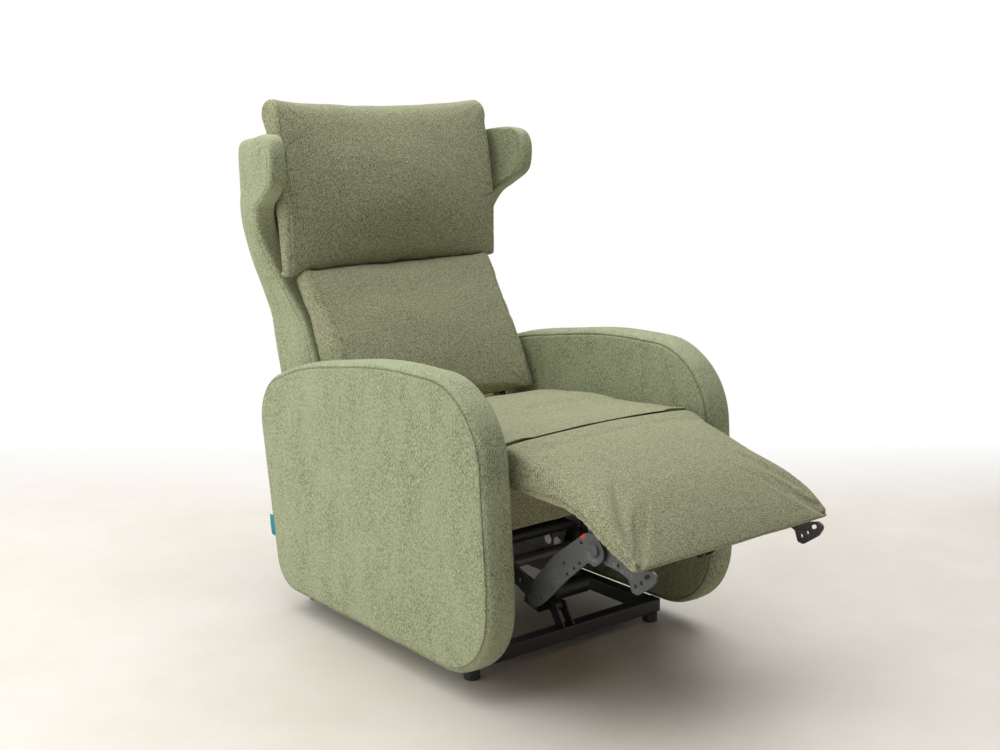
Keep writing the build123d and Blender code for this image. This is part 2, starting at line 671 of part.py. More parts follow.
def up(z):
    # Height of a point of the back that grows with the height of the back.
    return z if z < 600 else 600.0 + (z - 600.0) * rise


post_line = [(205.0, 400.0), (352.0, up(764)), (392.0, up(1010))]
post_half = 20.0       # half depth of a post
post_t = 22.0          # width of a post
post_low = 436.0       # lower end of the posts
x_post = half_gap - 46.0
front_side = []
rear_side = []
for i, (y, z) in enumerate(post_line):
    a = post_line[max(i - 1, 0)]
    b = post_line[min(i + 1, 2)]
    front_side.append(spot_on((y, z), (y + b[0] - a[0], z + b[1] - a[1]), 0, -post_half))
    rear_side.append(spot_on((y, z), (y + b[0] - a[0], z + b[1] - a[1]), 0, post_half))
post_face = make_face(Polyline(*front_side, *reversed(rear_side), close=True))
post_face = post_face - Pos(post_line[0][0], post_low - 60) * Rectangle(300, 120)
save("back_posts", *both(sheet_x(post_face, x_post - post_t, x_post)))
x_in = x_post - post_t
rails = []
for low, high in ((up(962), up(1002)), (up(742), up(782)), (450.0, 490.0)):
    rails.append(block(-x_in, x_in, 0, 600, low, high) & sheet_x(post_face, -x_in, x_in))
rails[0] = rails[0] + block(-x_in, x_in, 392, 419.3, up(968), up(998))
save("back_rails", *rails)

bracket_back = rounded([
    (back_pin[0] - 20, back_pin[1] - 16, 14), (back_pin[0] + 18, back_pin[1] - 18, 14),
    (282, 508, 10), (240, 524, 10), (206, 470, 12), (back_pin[0] - 22, back_pin[1] + 14, 14),
])
bracket_back = bracket_back - hole(back_pin, pin_r + run)
save("back_brackets", *both(sheet_x(bracket_back, x_post, x_post + plate_t)))
back_axis = (-262.0, 338.0)
back_mid = 7.0
back_far = 15.0        # half of the turn that the slot has to follow
back_x = -70.0
seek = math.atan2(back_pin[1] - crank_back - back_axis[1], back_pin[0] - back_axis[0])
for again in range(8):
    tip = turned((crank_back, 0), math.degrees(seek) - 90.0)
    seek = math.atan2(back_pin[1] + tip[1] - back_axis[1], back_pin[0] + tip[0] - back_axis[0])
back_slope = math.degrees(seek)
back_span = math.hypot(back_pin[0] + tip[0] - back_axis[0], back_pin[1] + tip[1] - back_axis[1])
back_tube = bar_x(back_pin[0], back_pin[1], -x_post, x_post, pivot_tube_r)
back_tube = back_tube - bar_x(back_pin[0], back_pin[1], -x_post, x_post, bore_r)
back_crank = crank_plate(
    back_pin, back_slope - 90.0 + back_mid, crank_back - slot_end,
    crank_back / math.cos(math.radians(back_far)) + slot_end, pivot_tube_r - weld,
)
save("back_tube", back_tube + sheet_x(back_crank, back_x - crank_t / 2, back_x + crank_t / 2))
save("back_pins", *both(rivet(back_pin, x_post, x_side, pin_r)))

bands = []
band_wide = 44.0
band_low = 540.0
band_top = up(720)
band_rows = [band_low + (band_top - band_low) * share / 3 for share in range(4)] + [up(830), up(900)]
band_face = make_face(Polyline(*front_side, *[(y - strap_t, z) for y, z in reversed(front_side)], close=True))
for z in band_rows:
    cut = block(-x_post, x_post, 0, 600, z - band_wide / 2, z + band_wide / 2)
    bands.append(cut & sheet_x(band_face, -x_post, x_post))
save("back_webbing", *bands)

# Linear drives: housing with motor and tube, and a rod whose forked end holds the crank pin
eye_r = 12.0
eye_half = 11.0        # half width of the eye
gear_half = 24.0       # half width of the gear case
gear_start = 24.0      # gear case along the drive
gear_end = 74.0
motor_r = 21.0
motor_long = 100.0
fork_t = 5.7           # thickness of a fork leg
fork_gap = 4.8         # middle of the fork to the inner face of a leg
fork_long = 30.0


def drive_body(tube_end, motor_side):
    made = Rot(0, 90, 0) * Cylinder(eye_r, 2 * eye_half)
    made += block(-eye_half, eye_half, 0, gear_start + 6, -9, 9)
    made += block(-gear_half, gear_half, gear_start, gear_end, -gear_half, gear_half)
    made += Pos(0, (gear_end + tube_end) / 2, 0) * Rot(90, 0, 0) * Cylinder(drive_r, tube_end - gear_end)
    motor = Rot(0, 90, 0) * Cylinder(motor_r, motor_long)
    made += Pos(motor_side * (gear_half + motor_long / 2), (gear_start + gear_end) / 2, 0) * motor
    made -= Rot(0, 90, 0) * Cylinder(pin_d + run, 3 * eye_half)
    bore_start = gear_end + 4
    bore = Rot(90, 0, 0) * Cylinder(rod_r + 0.3, tube_end - bore_start)
    return made - Pos(0, (bore_start + tube_end) / 2, 0) * bore


def drive_rod(start, pin_at):
    end = pin_at - fork_long
    outer = fork_gap + fork_t
    made = Pos(0, (start + end) / 2, 0) * Rot(90, 0, 0) * Cylinder(rod_r, end - start)
    made += block(-outer, outer, end - 8, end, -rod_r, rod_r)
    for side in (-1, 1):
        made += block(side * fork_gap, side * outer, end - 8, pin_at, -rod_r, rod_r)
        made += Pos(side * (fork_gap + fork_t / 2), pin_at, 0) * Rot(0, 90, 0) * Cylinder(rod_r, fork_t)
    return made + Pos(0, pin_at, 0) * Rot(0, 90, 0) * Cylinder(pin_d, 2 * outer)


def hanger(eye, spot, spot_r, x, foot):
    # Two cheeks and a pin that hold the eye of a drive.
    cheek_t = 4.0
    cheeks = []
    for side in (-1, 1):
        if foot:
            cheek = rounded([
                (spot[0] - 14, spot[1], 2), (spot[0] + 15, spot[1], 2),
                (eye[0] + 13, eye[1] + 13, 10), (eye[0] - 13, eye[1] + 13, 10),
            ])
        else:
            cheek = bar_link(eye, spot, 2 * spot_r + 12) - hole(spot, spot_r + run)
        inner = x + side * (eye_half + 0.5)
        outer = inner + side * cheek_t
        cheeks.append(sheet_x(cheek, min(inner, outer), max(inner, outer)))
    return cheeks[0] + cheeks[1] + bar_x(eye[0], eye[1], x - eye_half - 2, x + eye_half + 2, pin_d)


lift_place = Pos(0, lift_axis[0], lift_axis[1]) * Rot(lift_slope, 0, 0)
lift_rate = crank_lift * 1.0275
lift_at = lift_span - lift_rate * math.radians(lift_mid)
save("lift_drive", lift_place * drive_body(lift_at - 130, 1))
save("lift_rod", lift_place * drive_rod(lift_at - 250, lift_at))
save("lift_drive_hanger", hanger(lift_axis, (base_front, rail_top), 0, 0.0, True))

legs_axis = (100.0, drive[1] - crank_legs)
legs_place = Pos(legs_x, legs_axis[0], legs_axis[1]) * Rot(0, 0, 180)
legs_at = legs_axis[0] - legs_pin_y
save("legrest_drive", legs_place * drive_body(legs_at - 135, 1))
save("legrest_rod", legs_place * drive_rod(legs_at - 189, legs_at))

back_place = Pos(back_x, back_axis[0], back_axis[1]) * Rot(back_slope, 0, 0)
back_rate = crank_back * 1.017
back_at = back_span + back_rate * math.radians(back_mid)
save("back_drive", back_place * drive_body(back_at - 160, -1))
save("back_rod", back_place * drive_rod(back_at - 290, back_at))
save(
    "drive_hangers",
    hanger(legs_axis, tie_rear, tie_r, legs_x, False),
    hanger(back_axis, tie_front, tie_r, back_x, False),
)

# Wings: lofted through level sections, in line with the arms below and flared to ears above


def wing_section(z, y_front, y_rear, x_front, x_rear, thick):
    # Rounded section with its outer face at x_front and x_rear, round at the front edge.
    r = thick * 0.42
    along = Vector(x_front - x_rear, y_front - y_rear, 0).normalized()
    inward = Vector(-1, 0, 0) - along * Vector(-1, 0, 0).dot(along)
    inward = inward.normalized()
    a = Vector(x_rear, y_rear, z)
    b = Vector(x_front, y_front, z)
    c = b + inward * thick
    d = a + inward * thick
    corners = [a, b, c, d]
    edges = []
    starts, ends, mids = [], [], []
    for i in range(4):
        p = corners[i]
        u = (corners[i - 1] - p).normalized()
        v = (corners[(i + 1) % 4] - p).normalized()
        starts.append(p + u * r)
        ends.append(p + v * r)
        mids.append(p + (u + v).normalized() * (r * (math.sqrt(2) - 1)))
    for i in range(4):
        edges.append(ThreePointArc(starts[i], mids[i], ends[i]))
        edges.append(Line(ends[i], starts[(i + 1) % 4]))
    return Face(Wire(edges))


x_wing = half_gap - 6.0
wing_t = x_wing - x_post - 0.9
wing_rows = [
    (440.0, 226, 398, 0.0, 0.0, 1.0), (530.0, 250, 408, 0.0, 0.0, 1.0), (600.0, 277, 428, 0.0, 0.0, 1.0),
    (650.0, 300, 435, 0.0, 0.0, 1.0), (up(690), 318, 441, 0.3, 0.3, 1.0),
    (up(725), 334, 445, 6.0, 6.0, 1.0),
    (up(770), 352, 448, 23.0, 21.0, 1.0), (up(850), 366, 452, 58.0, 48.0, 1.0),
    (up(905), 345, 452, 80.0, 60.0, 1.0), (up(932), 308, 451, 91.0, 64.5, 1.0),
    (up(960), 270, 450, 100.0, 68.5, 1.0), (up(985), 252, 449, 104.0, 71.0, 1.0),
    (up(1025), 250, 447, 104.5, 73.0, 1.0), (up(1050), 264, 445, 102.0, 73.0, 0.94),
    (up(1063), 282, 438, 98.0, 72.5, 0.72), (up(1067), 296, 430, 93.0, 71.0, 0.45),
]
wing_faces = []
for z, y_f, y_r, out_f, out_r, k in wing_rows:
    inset = (1 - k) * wing_t * 0.5
    wing_faces.append(wing_section(z, y_f, y_r, x_wing + out_f - inset, x_wing + out_r - inset, wing_t * k))
wing = loft(wing_faces, ruled=True)
rebate_top = 527.0     # top of the rebate for the back bracket in the inner face of a wing
wing = wing - block(x_post, x_post + plate_t + 0.9, 180, 300, post_low, rebate_top)
save("wing_left", wing)
save("wing_right", flip(wing))

# Rear panel of the back between the wings
panel_rows = [
    (440.0, 398, x_post - 6.0), (530.0, 410, x_post - 5.0), (600.0, 428, x_post - 4.0),
    (up(690), 441, x_post - 3.0), (up(770), 448, x_post + 15.0), (up(850), 452, x_post + 40.0),
    (up(955), 450, x_post + 60.0), (up(1045), 446, x_post + 65.0),
]
panel_t = 28.0
panel_faces = []
for z, y_r, half in panel_rows:
    panel_faces.append(Pos(0, y_r - panel_t / 2, z) * RectangleRounded(2 * half, panel_t, 8.0))
save("back_panel", loft(panel_faces, ruled=True))


# Lumbar and head cushions
web_gap = 0.4          # gap between the webbing and the lumbar cushion


def web_front(z):
    # Front of the webbing at a height, along the straight lower part of the posts.
    (y0, z0), (y1, z1) = front_side[:2]
    return y0 + (y1 - y0) * (z - z0) / (z1 - z0) - strap_t - web_gap


def lumbar_section(x, crown, s):
    return arc_loop([
        (104 + s, 470), (163 - crown + s, 590), (286 + s * 0.4, up(750) - s), (303, up(764) - s * 1.5),
        (web_front(up(752)) - s * 0.3, up(752) - s), (web_front(603) - s * 0.3, 603),
        (web_front(484) - s * 0.5, 484 + s), (150, 458 + s),
    ], x)


lumbar_half = half_gap - 10.0
lumbar_rows = stations(lumbar_half, 16.0, 26.0, 12.0)
save("lumbar_cushion", loft([lumbar_section(*one) for one in lumbar_rows], ruled=True))


def head_section(x, crown, s):
    droop = crown * 0.3
    return arc_loop([
        (302 + s, up(778) + s * 0.4), (312 - crown + s, up(940)), (346 + s, up(1100) - droop - s),
        (385, back_top - droop - s * 1.6), (420 - s, up(1092) - droop - s), (378 - s * 0.4, up(1037)),
        (359 - s * 0.3, up(985)), (347.5 - s * 0.3, up(880)), (328 - s * 0.3, up(782) + s * 0.3),
        (314, up(769) + s * 0.6),
    ], x)


head_half = half_gap + 32.0
head_rows = stations(head_half, 18.0, 36.0, 14.0)
save("head_cushion", loft([head_section(*one) for one in head_rows], ruled=True))
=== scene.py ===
import math

import bmesh
import bpy
import numpy as np
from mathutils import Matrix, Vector, noise
from mathutils.bvhtree import BVHTree


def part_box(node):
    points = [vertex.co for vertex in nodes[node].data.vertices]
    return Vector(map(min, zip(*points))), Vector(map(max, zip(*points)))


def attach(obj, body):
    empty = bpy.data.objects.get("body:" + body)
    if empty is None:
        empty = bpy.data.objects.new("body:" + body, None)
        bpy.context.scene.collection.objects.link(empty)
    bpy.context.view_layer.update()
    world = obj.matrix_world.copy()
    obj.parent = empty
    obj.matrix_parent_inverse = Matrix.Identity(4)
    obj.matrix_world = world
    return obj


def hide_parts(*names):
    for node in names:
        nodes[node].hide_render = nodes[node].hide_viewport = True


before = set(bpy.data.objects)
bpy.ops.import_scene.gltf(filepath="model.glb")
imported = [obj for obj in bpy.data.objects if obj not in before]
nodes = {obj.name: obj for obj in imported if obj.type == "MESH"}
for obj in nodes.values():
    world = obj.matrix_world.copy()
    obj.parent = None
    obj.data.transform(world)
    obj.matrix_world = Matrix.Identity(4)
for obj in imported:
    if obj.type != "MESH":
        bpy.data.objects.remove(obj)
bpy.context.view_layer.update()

# Base: a welded frame of square steel tube under the whole chair, sprayed with black powder paint.
# The lift brackets are welded on its rear rail and carry the links of the lift.


def srgb(red, green, blue):
    """A screen colour, 0 to 255, as the linear colour that a shader takes."""
    parts = []
    for part in (red, green, blue):
        part = part / 255.0
        parts.append(part / 12.92 if part <= 0.04045 else ((part + 0.055) / 1.055) ** 2.4)
    return (*parts, 1.0)


def add_node(tree, kind, sockets=(), **settings):
    """A new node with its settings, and with a value or a link for each named input socket."""
    node = tree.nodes.new(kind)
    for key, value in settings.items():
        setattr(node, key, value)
    for key, value in dict(sockets).items():
        if isinstance(value, bpy.types.NodeSocket):
            tree.links.new(value, node.inputs[key])
        else:
            node.inputs[key].default_value = value
    return node


def new_group(name, inputs, outputs):
    """A shader node group with named sockets, and its two end nodes."""
    group = bpy.data.node_groups.new(name, "ShaderNodeTree")
    for label, kind, value in inputs:
        socket = group.interface.new_socket(name=label, in_out="INPUT", socket_type=kind)
        socket.default_value = value
    for label, kind in outputs:
        group.interface.new_socket(name=label, in_out="OUTPUT", socket_type=kind)
    return group, group.nodes.new("NodeGroupInput"), group.nodes.new("NodeGroupOutput")


def new_band(tree, value, low, high, start=0.0, end=1.0):
    """Value stretched so that low gives start and high gives end."""
    sockets = {"Value": value, "From Min": low, "From Max": high, "To Min": start, "To Max": end}
    return add_node(tree, "ShaderNodeMapRange", sockets).outputs["Result"]


def new_mix(tree, share, first, second):
    """Two colours mixed by a share."""
    return add_node(tree, "ShaderNodeMix", {0: share, 6: first, 7: second}, data_type="RGBA").outputs[2]


def new_math(tree, operation, first, second):
    """Two values put together by one operation."""
    return add_node(tree, "ShaderNodeMath", {0: first, 1: second}, operation=operation).outputs["Value"]


def own_place(tree):
    """Each point's place in the frame of its piece."""
    return add_node(tree, "ShaderNodeTexCoord").outputs["Object"]


def new_noise(tree, place, scale, detail, rough=0.5):
    """Cloudy noise over a place, about 0.5 on the whole."""
    sockets = {"Vector": place, "Scale": scale, "Detail": detail, "Roughness": rough}
    return add_node(tree, "ShaderNodeTexNoise", sockets).outputs["Fac"]


def new_material(name, values=()):
    """A node material, its tree and its shader, with values on the shader's own sockets."""
    material = bpy.data.materials.new(name)
    material.use_nodes = True
    shader = material.node_tree.nodes["Principled BSDF"]
    for key, value in dict(values).items():
        shader.inputs[key].default_value = value
    return material, material.node_tree, shader


def wire(tree, shader, colour, height, relief, depth):
    """Lead a colour and a fine relief to a shader."""
    bump = add_node(tree, "ShaderNodeBump", {"Height": height, "Strength": relief, "Distance": depth})
    tree.links.new(colour, shader.inputs["Base Color"])
    tree.links.new(bump.outputs["Normal"], shader.inputs["Normal"])


def make_coat_group():
    """Paint or moulded skin on a hard piece: fine grain, rubbed patches, and dust on top faces."""
    group, start, end = new_group(
        "coat",
        [
            ("Coat", "NodeSocketColor", srgb(30, 30, 30)), ("Rubbed", "NodeSocketColor", srgb(70, 70, 70)),
            ("Dust", "NodeSocketColor", srgb(120, 115, 105)), ("Grain", "NodeSocketFloat", 900.0),
            ("Gloss Low", "NodeSocketFloat", 0.35), ("Gloss High", "NodeSocketFloat", 0.6),
        ],
        [("Color", "NodeSocketColor"), ("Roughness", "NodeSocketFloat"), ("Height", "NodeSocketFloat")],
    )
    place = own_place(group)
    fine = new_noise(group, place, start.outputs["Grain"], 2.0)
    broad = new_noise(group, place, 14.0, 6.0)
    long_way = add_node(group, "ShaderNodeMapping", {"Vector": place, "Scale": (20.0, 260.0, 260.0)})
    streak = new_noise(group, long_way.outputs[0], 1.0, 3.0)
    normal = add_node(group, "ShaderNodeNewGeometry").outputs["Normal"]
    upward = add_node(group, "ShaderNodeSeparateXYZ", {0: normal}).outputs["Z"]
    rubbed = new_math(
        group, "MULTIPLY", new_band(group, broad, 0.52, 0.7), new_band(group, streak, 0.5, 0.68),
    )
    settled = new_math(
        group, "MULTIPLY", new_band(group, upward, 0.6, 1.6), new_band(group, broad, 0.3, 0.8),
    )
    painted = new_mix(group, rubbed, start.outputs["Coat"], start.outputs["Rubbed"])
    dusty = new_mix(group, settled, painted, start.outputs["Dust"])
    gloss = new_band(group, broad, 0.3, 0.7, start.outputs["Gloss Low"], start.outputs["Gloss High"])
    group.links.new(dusty, end.inputs["Color"])
    group.links.new(gloss, end.inputs["Roughness"])
    group.links.new(fine, end.inputs["Height"])
    return group


coat_group = make_coat_group()
COAT_RELIEF = 0.0006


def coated(name, values, relief, metallic=0.0):
    """A material whose colour, gloss and fine relief come from the coat group."""
    material, tree, shader = new_material(name, {"Metallic": metallic})
    coat = add_node(tree, "ShaderNodeGroup", values, node_tree=coat_group)
    tree.links.new(coat.outputs["Roughness"], shader.inputs["Roughness"])
    wire(tree, shader, coat.outputs["Color"], coat.outputs["Height"], relief, COAT_RELIEF)
    return material


def paint(material, *names):
    """Put a material on CAD nodes that stay in view."""
    for name in names:
        nodes[name].data.materials.clear()
        nodes[name].data.materials.append(material)


black_powder = coated("black_powder_paint", {
    "Coat": srgb(26, 25, 24), "Rubbed": srgb(62, 60, 58), "Dust": srgb(84, 80, 74),
    "Grain": 1400.0, "Gloss Low": 0.36, "Gloss High": 0.55,
}, 0.25)
paint(black_powder, "base_front_rail", "base_rear_rail", "base_side_rails")
paint(black_powder, "lift_brackets", "lift_drive_hanger")

# Glides and end caps: black plastic pressed into the tubes and screwed under the four corners.
# They carry the chair on the floor and close the ends of the rails.
black_plastic = coated("black_plastic", {
    "Coat": srgb(22, 22, 23), "Rubbed": srgb(48, 48, 48), "Dust": srgb(90, 86, 80),
    "Grain": 2200.0, "Gloss Low": 0.42, "Gloss High": 0.62,
}, 0.3)
paint(black_plastic, "base_feet", "base_end_caps")

# Lift: pressed steel links, a carriage and tilt struts, sprayed black, that raise and tip the chair.
# The pins that they turn on are zinc plated steel.
zinc_steel = coated("zinc_plated_steel", {
    "Coat": srgb(176, 176, 170), "Rubbed": srgb(206, 205, 198), "Dust": srgb(150, 144, 132),
    "Grain": 700.0, "Gloss Low": 0.24, "Gloss High": 0.42,
}, 0.2, metallic=1.0)
paint(black_powder, "lift_links", "guide_links", "lift_tube")
paint(black_powder, "carriage_plates", "carriage_tube", "tilt_struts")
paint(zinc_steel, "base_pins", "strut_pins", "carriage_pins")

# Seat mechanism: side plates of pressed steel with tie tubes between them, sprayed black.
# Plated bolts hold them to the wooden seat rails and through those to the boards of the arms.
paint(black_powder, "side_plates", "tie_tubes", "drive_hangers")
paint(zinc_steel, "chair_pins", "front_bolts", "arm_bolts")

# Drives: three linear drives, each a gear case with its motor and its outer tube in black plastic,
# hung from a steel hanger, and a bright plated rod that turns a crank.
paint(black_plastic, "lift_drive", "legrest_drive", "back_drive")
paint(zinc_steel, "lift_rod", "legrest_rod", "back_rod")

# Seat frame: rails of birch plywood screwed together inside the side plates, sawn and left plain.
# Fine pale and brown streaks of the veneer show on the faces.


def make_plywood():
    material, tree, shader = new_material("birch_plywood")
    along = add_node(tree, "ShaderNodeMapping", {"Vector": own_place(tree), "Scale": (6.0, 40.0, 90.0)})
    grain = new_noise(tree, along.outputs[0], 3.0, 8.0)
    figure = add_node(tree, "ShaderNodeTexWave", {
        "Vector": along.outputs[0], "Scale": 0.5, "Distortion": 6.0, "Detail": 3.0,
    })
    rings = new_math(tree, "MULTIPLY", figure.outputs["Fac"], 0.35)
    wood = new_mix(tree, new_band(tree, grain, 0.3, 0.7), srgb(196, 164, 118), srgb(226, 200, 158))
    wood = new_mix(tree, rings, wood, srgb(170, 132, 86))
    tree.links.new(new_band(tree, grain, 0.0, 1.0, 0.5, 0.75), shader.inputs["Roughness"])
    wire(tree, shader, wood, grain, 0.2, 0.0008)
    return material


plywood = make_plywood()
paint(plywood, "seat_rails_side", "seat_rail_front", "seat_rail_rear")

# Seat webbing: elastic straps of woven jute and rubber, stretched over the seat rails and stapled.
# They carry the foam of the seat from below.


def points_of(piece):
    """The points of a mesh as an array."""
    out = np.empty(len(piece.data.vertices) * 3)
    piece.data.vertices.foreach_get("co", out)
    return out.reshape(-1, 3)


def normals_of(piece):
    """The normals of a mesh's points as an array."""
    out = np.empty(len(piece.data.vertices) * 3)
    piece.data.vertices.foreach_get("normal", out)
    return out.reshape(-1, 3)


def set_points(piece, spots):
    piece.data.vertices.foreach_set("co", spots.ravel())
    piece.data.update()


def shaped(piece, kind, **settings):
    """Work one modifier into the mesh of a piece."""
    modifier = piece.modifiers.new(kind.lower(), kind)
    for key, value in settings.items():
        setattr(modifier, key, value)
    bpy.context.view_layer.update()
    done = piece.evaluated_get(bpy.context.evaluated_depsgraph_get())
    mesh = bpy.data.meshes.new_from_object(done)
    piece.modifiers.clear()
    old = piece.data
    piece.data = mesh
    mesh.name = piece.name
    bpy.data.meshes.remove(old)
    piece.data.shade_smooth()


def add_object(name, data):
    """A new object in the scene."""
    made = bpy.data.objects.new(name, data)
    bpy.context.scene.collection.objects.link(made)
    return made


POINT_GAP = 0.00002


def copy_of(node, name):
    """A new piece with a CAD node's mesh, its points joined up."""
    piece = add_object(name, nodes[node].data.copy())
    shell = bmesh.new()
    shell.from_mesh(piece.data)
    bmesh.ops.remove_doubles(shell, verts=shell.verts, dist=POINT_GAP)
    shell.to_mesh(piece.data)
    shell.free()
    return piece


def dress(piece, material, body, slot, *replaced):
    """Give a new piece its material and the body that it rides on, and hide the nodes it stands for. The
    slot is not used.
    """
    piece.data.materials.clear()
    piece.data.materials.append(material)
    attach(piece, body)
    if replaced:
        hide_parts(*replaced)


def make_webbing_cloth():
    material, tree, shader = new_material("woven_webbing", {"Roughness": 0.88})
    weave = {"Vector": own_place(tree), "Scale": 110.0}
    across, along, upward = [
        add_node(tree, "ShaderNodeTexWave", weave, bands_direction=way).outputs["Fac"] for way in "XYZ"
    ]
    yarn = new_math(tree, "MULTIPLY", across, along)
    yarn = new_math(tree, "ADD", yarn, new_math(tree, "MULTIPLY", upward, 0.4))
    wire(tree, shader, new_mix(tree, yarn, srgb(58, 52, 44), srgb(112, 100, 82)), yarn, 0.5, 0.0008)
    return material


webbing_cloth = make_webbing_cloth()
STRAP_EDGE = 0.0009


def make_straps(node, body, name):
    """Straps with rolled edges, on the rails that hold them."""
    straps = copy_of(node, name)
    shaped(straps, "BEVEL", width=STRAP_EDGE, segments=2, limit_method="ANGLE")
    dress(straps, webbing_cloth, body, "webbing", node)


make_straps("seat_webbing", "chair", "seat_straps")

# Seat cushion: foam under a sewn cover, crowned in the middle and held down by two sewn channels.
# Its front is hollowed so that the rolled rear end of the legrest turns in it.


def make_heather_group():
    """Heathered chenille: light and dark yarn mixed fibre by fibre, a brushed nap, and small dark flecks."""
    group, start, end = new_group(
        "heather",
        [
            ("Light", "NodeSocketColor", srgb(190, 194, 160)),
            ("Dark", "NodeSocketColor", srgb(100, 104, 80)),
            ("Brushed", "NodeSocketColor", srgb(150, 156, 122)),
            ("Fleck", "NodeSocketColor", srgb(62, 66, 48)),
            ("Yarn", "NodeSocketFloat", 420.0),
            ("Nap", "NodeSocketFloat", 30.0),
            ("Brush", "NodeSocketFloat", 0.4),
            ("Stretch", "NodeSocketVector", (1.0, 1.0, 1.0)),
            ("Turn", "NodeSocketVector", (0.0, 0.0, 0.0)),
        ],
        [("Color", "NodeSocketColor"), ("Height", "NodeSocketFloat")],
    )
    given = start.outputs
    place = own_place(group)
    turned = add_node(group, "ShaderNodeMapping", {"Vector": place, "Rotation": given["Turn"]})
    laid = add_node(group, "ShaderNodeMapping", {"Vector": turned.outputs[0], "Scale": given["Stretch"]})
    fibres = []
    for turn in ((0.7, 0.5, 0.6), (-0.6, -0.7, -0.5)):
        sockets = {"Vector": place, "Rotation": turn, "Scale": (1.0, 1.0, 0.4)}
        way = add_node(group, "ShaderNodeMapping", sockets).outputs[0]
        fibres.append(new_noise(group, way, given["Yarn"], 2.0, 0.6))
    fine = new_math(group, "MULTIPLY", new_math(group, "ADD", *fibres), 0.5)
    clump_scale = new_math(group, "MULTIPLY", given["Yarn"], 0.7)
    clump = new_noise(group, laid.outputs[0], clump_scale, 1.0)
    nap = new_noise(group, laid.outputs[0], given["Nap"], 5.0, 0.68)
    colour = new_mix(group, new_band(group, fine, 0.40, 0.60), given["Dark"], given["Light"])
    brushed = new_math(group, "MULTIPLY", new_band(group, nap, 0.36, 0.64), given["Brush"])
    colour = new_mix(group, brushed, colour, given["Brushed"])
    flecks = new_math(group, "MULTIPLY", new_band(group, clump, 0.58, 0.74), 0.35)
    colour = new_mix(group, flecks, colour, given["Fleck"])
    group.links.new(colour, end.inputs["Color"])
    group.links.new(fine, end.inputs["Height"])
    return group


heather_group = make_heather_group()
CLOTH_RELIEF = 0.0010


def chenille(name, values, relief):
    """A chenille material with soft sheen, from the heather group."""
    material, tree, shader = new_material(name, {
        "Roughness": 0.94, "Specular IOR Level": 0.2,
        "Sheen Weight": 0.12, "Sheen Roughness": 0.55, "Sheen Tint": srgb(214, 218, 190),
    })
    cloth = add_node(tree, "ShaderNodeGroup", values, node_tree=heather_group)
    wire(tree, shader, cloth.outputs["Color"], cloth.outputs["Height"], relief, CLOTH_RELIEF)
    return material


cushion_cloth = chenille("cushion_chenille", {
    "Light": srgb(188, 189, 154), "Dark": srgb(88, 90, 68), "Brushed": srgb(156, 158, 127),
    "Fleck": srgb(84, 86, 66), "Yarn": 560.0, "Nap": 26.0, "Brush": 0.25,
    "Stretch": (1.0, 1.0, 1.6), "Turn": (0.0, math.radians(40.0), 0.0),
}, 0.35)
FRAMES = 20
SEWN_COVER = {
    "quality": 4, "mass": 0.3, "tension_stiffness": 14.0, "compression_stiffness": 14.0,
    "shear_stiffness": 5.0, "bending_stiffness": 0.6,
    "use_pressure": True, "uniform_pressure_force": 4.0, "vertex_group_mass": "held",
}
LEAST_HELD = 0.01


def skin(piece, node, voxel, rounds):
    """An even skin of small faces over a piece, laid back on its CAD solid and eased a little."""
    shaped(piece, "REMESH", mode="VOXEL", voxel_size=voxel)
    shaped(piece, "SHRINKWRAP", target=nodes[node], wrap_method="NEAREST_SURFACEPOINT")
    shaped(piece, "SMOOTH", factor=0.5, iterations=rounds)


def stuff(piece, held, inset, most):
    """Fill a sewn cover: drawn in first, it swells between its held points, none of it by more than most."""
    set_points(piece, points_of(piece) - normals_of(piece) * (inset * (1.0 - held))[:, None])
    start = points_of(piece)
    group = piece.vertex_groups.new(name="held")
    for i, share in enumerate(held):
        if share > LEAST_HELD:
            group.add([i], float(share), "REPLACE")
    cloth = piece.modifiers.new("stuffing", "CLOTH")
    for key, value in SEWN_COVER.items():
        setattr(cloth.settings, key, value)
    cloth.settings.effector_weights.gravity = 0.0
    cloth.point_cache.frame_end = FRAMES
    for number in range(1, FRAMES + 1):
        bpy.context.scene.frame_set(number)
    done = piece.evaluated_get(bpy.context.evaluated_depsgraph_get())
    move = points_of(done) - start
    length = np.linalg.norm(move, axis=1, keepdims=True)
    move *= np.minimum(1.0, most / np.maximum(length, 1e-9))
    piece.modifiers.remove(cloth)
    bpy.context.scene.frame_set(1)
    set_points(piece, start + move)


def tree_of(piece):
    """A piece's mesh made ready for finding its nearest point, or what a ray meets."""
    mesh = piece.data
    return BVHTree.FromPolygons([v.co for v in mesh.vertices], [p.vertices for p in mesh.polygons])


def keep_in(piece, node, proud):
    """Hold a swollen cover to its CAD solid: each point may stand outside it by its own share of proud."""
    tree = tree_of(nodes[node])
    spots = points_of(piece)
    for i, spot in enumerate(spots):
        near, normal, _, gap = tree.find_nearest(Vector(spot))
        if gap > proud[i] and (Vector(spot) - near).dot(normal) > 0:
            spots[i] = near + (Vector(spot) - near) * (proud[i] / gap)
    set_points(piece, spots)


def draw_in(piece, distance, depth, width):
    """Pull the cover in along a seam, given each point's distance from that seam."""
    pull = depth * np.exp(-((distance / width) ** 2))
    set_points(piece, points_of(piece) - normals_of(piece) * pull[:, None])


def ruffle(piece, amount, size, seed):
    """Small uneven swells, as a filled cover has."""
    spots = points_of(piece)
    ways = normals_of(piece)
    for i, spot in enumerate(spots):
        spots[i] += ways[i] * amount * noise.noise(Vector(spot) / size + Vector((seed, 0.0, 0.0)))
    set_points(piece, spots)


def smooth_step(values, low, high):
    """0 below low, 1 above high, and a soft rise between."""
    share = np.clip((values - low) / (high - low), 0.0, 1.0)
    return share * share * (3.0 - 2.0 * share)


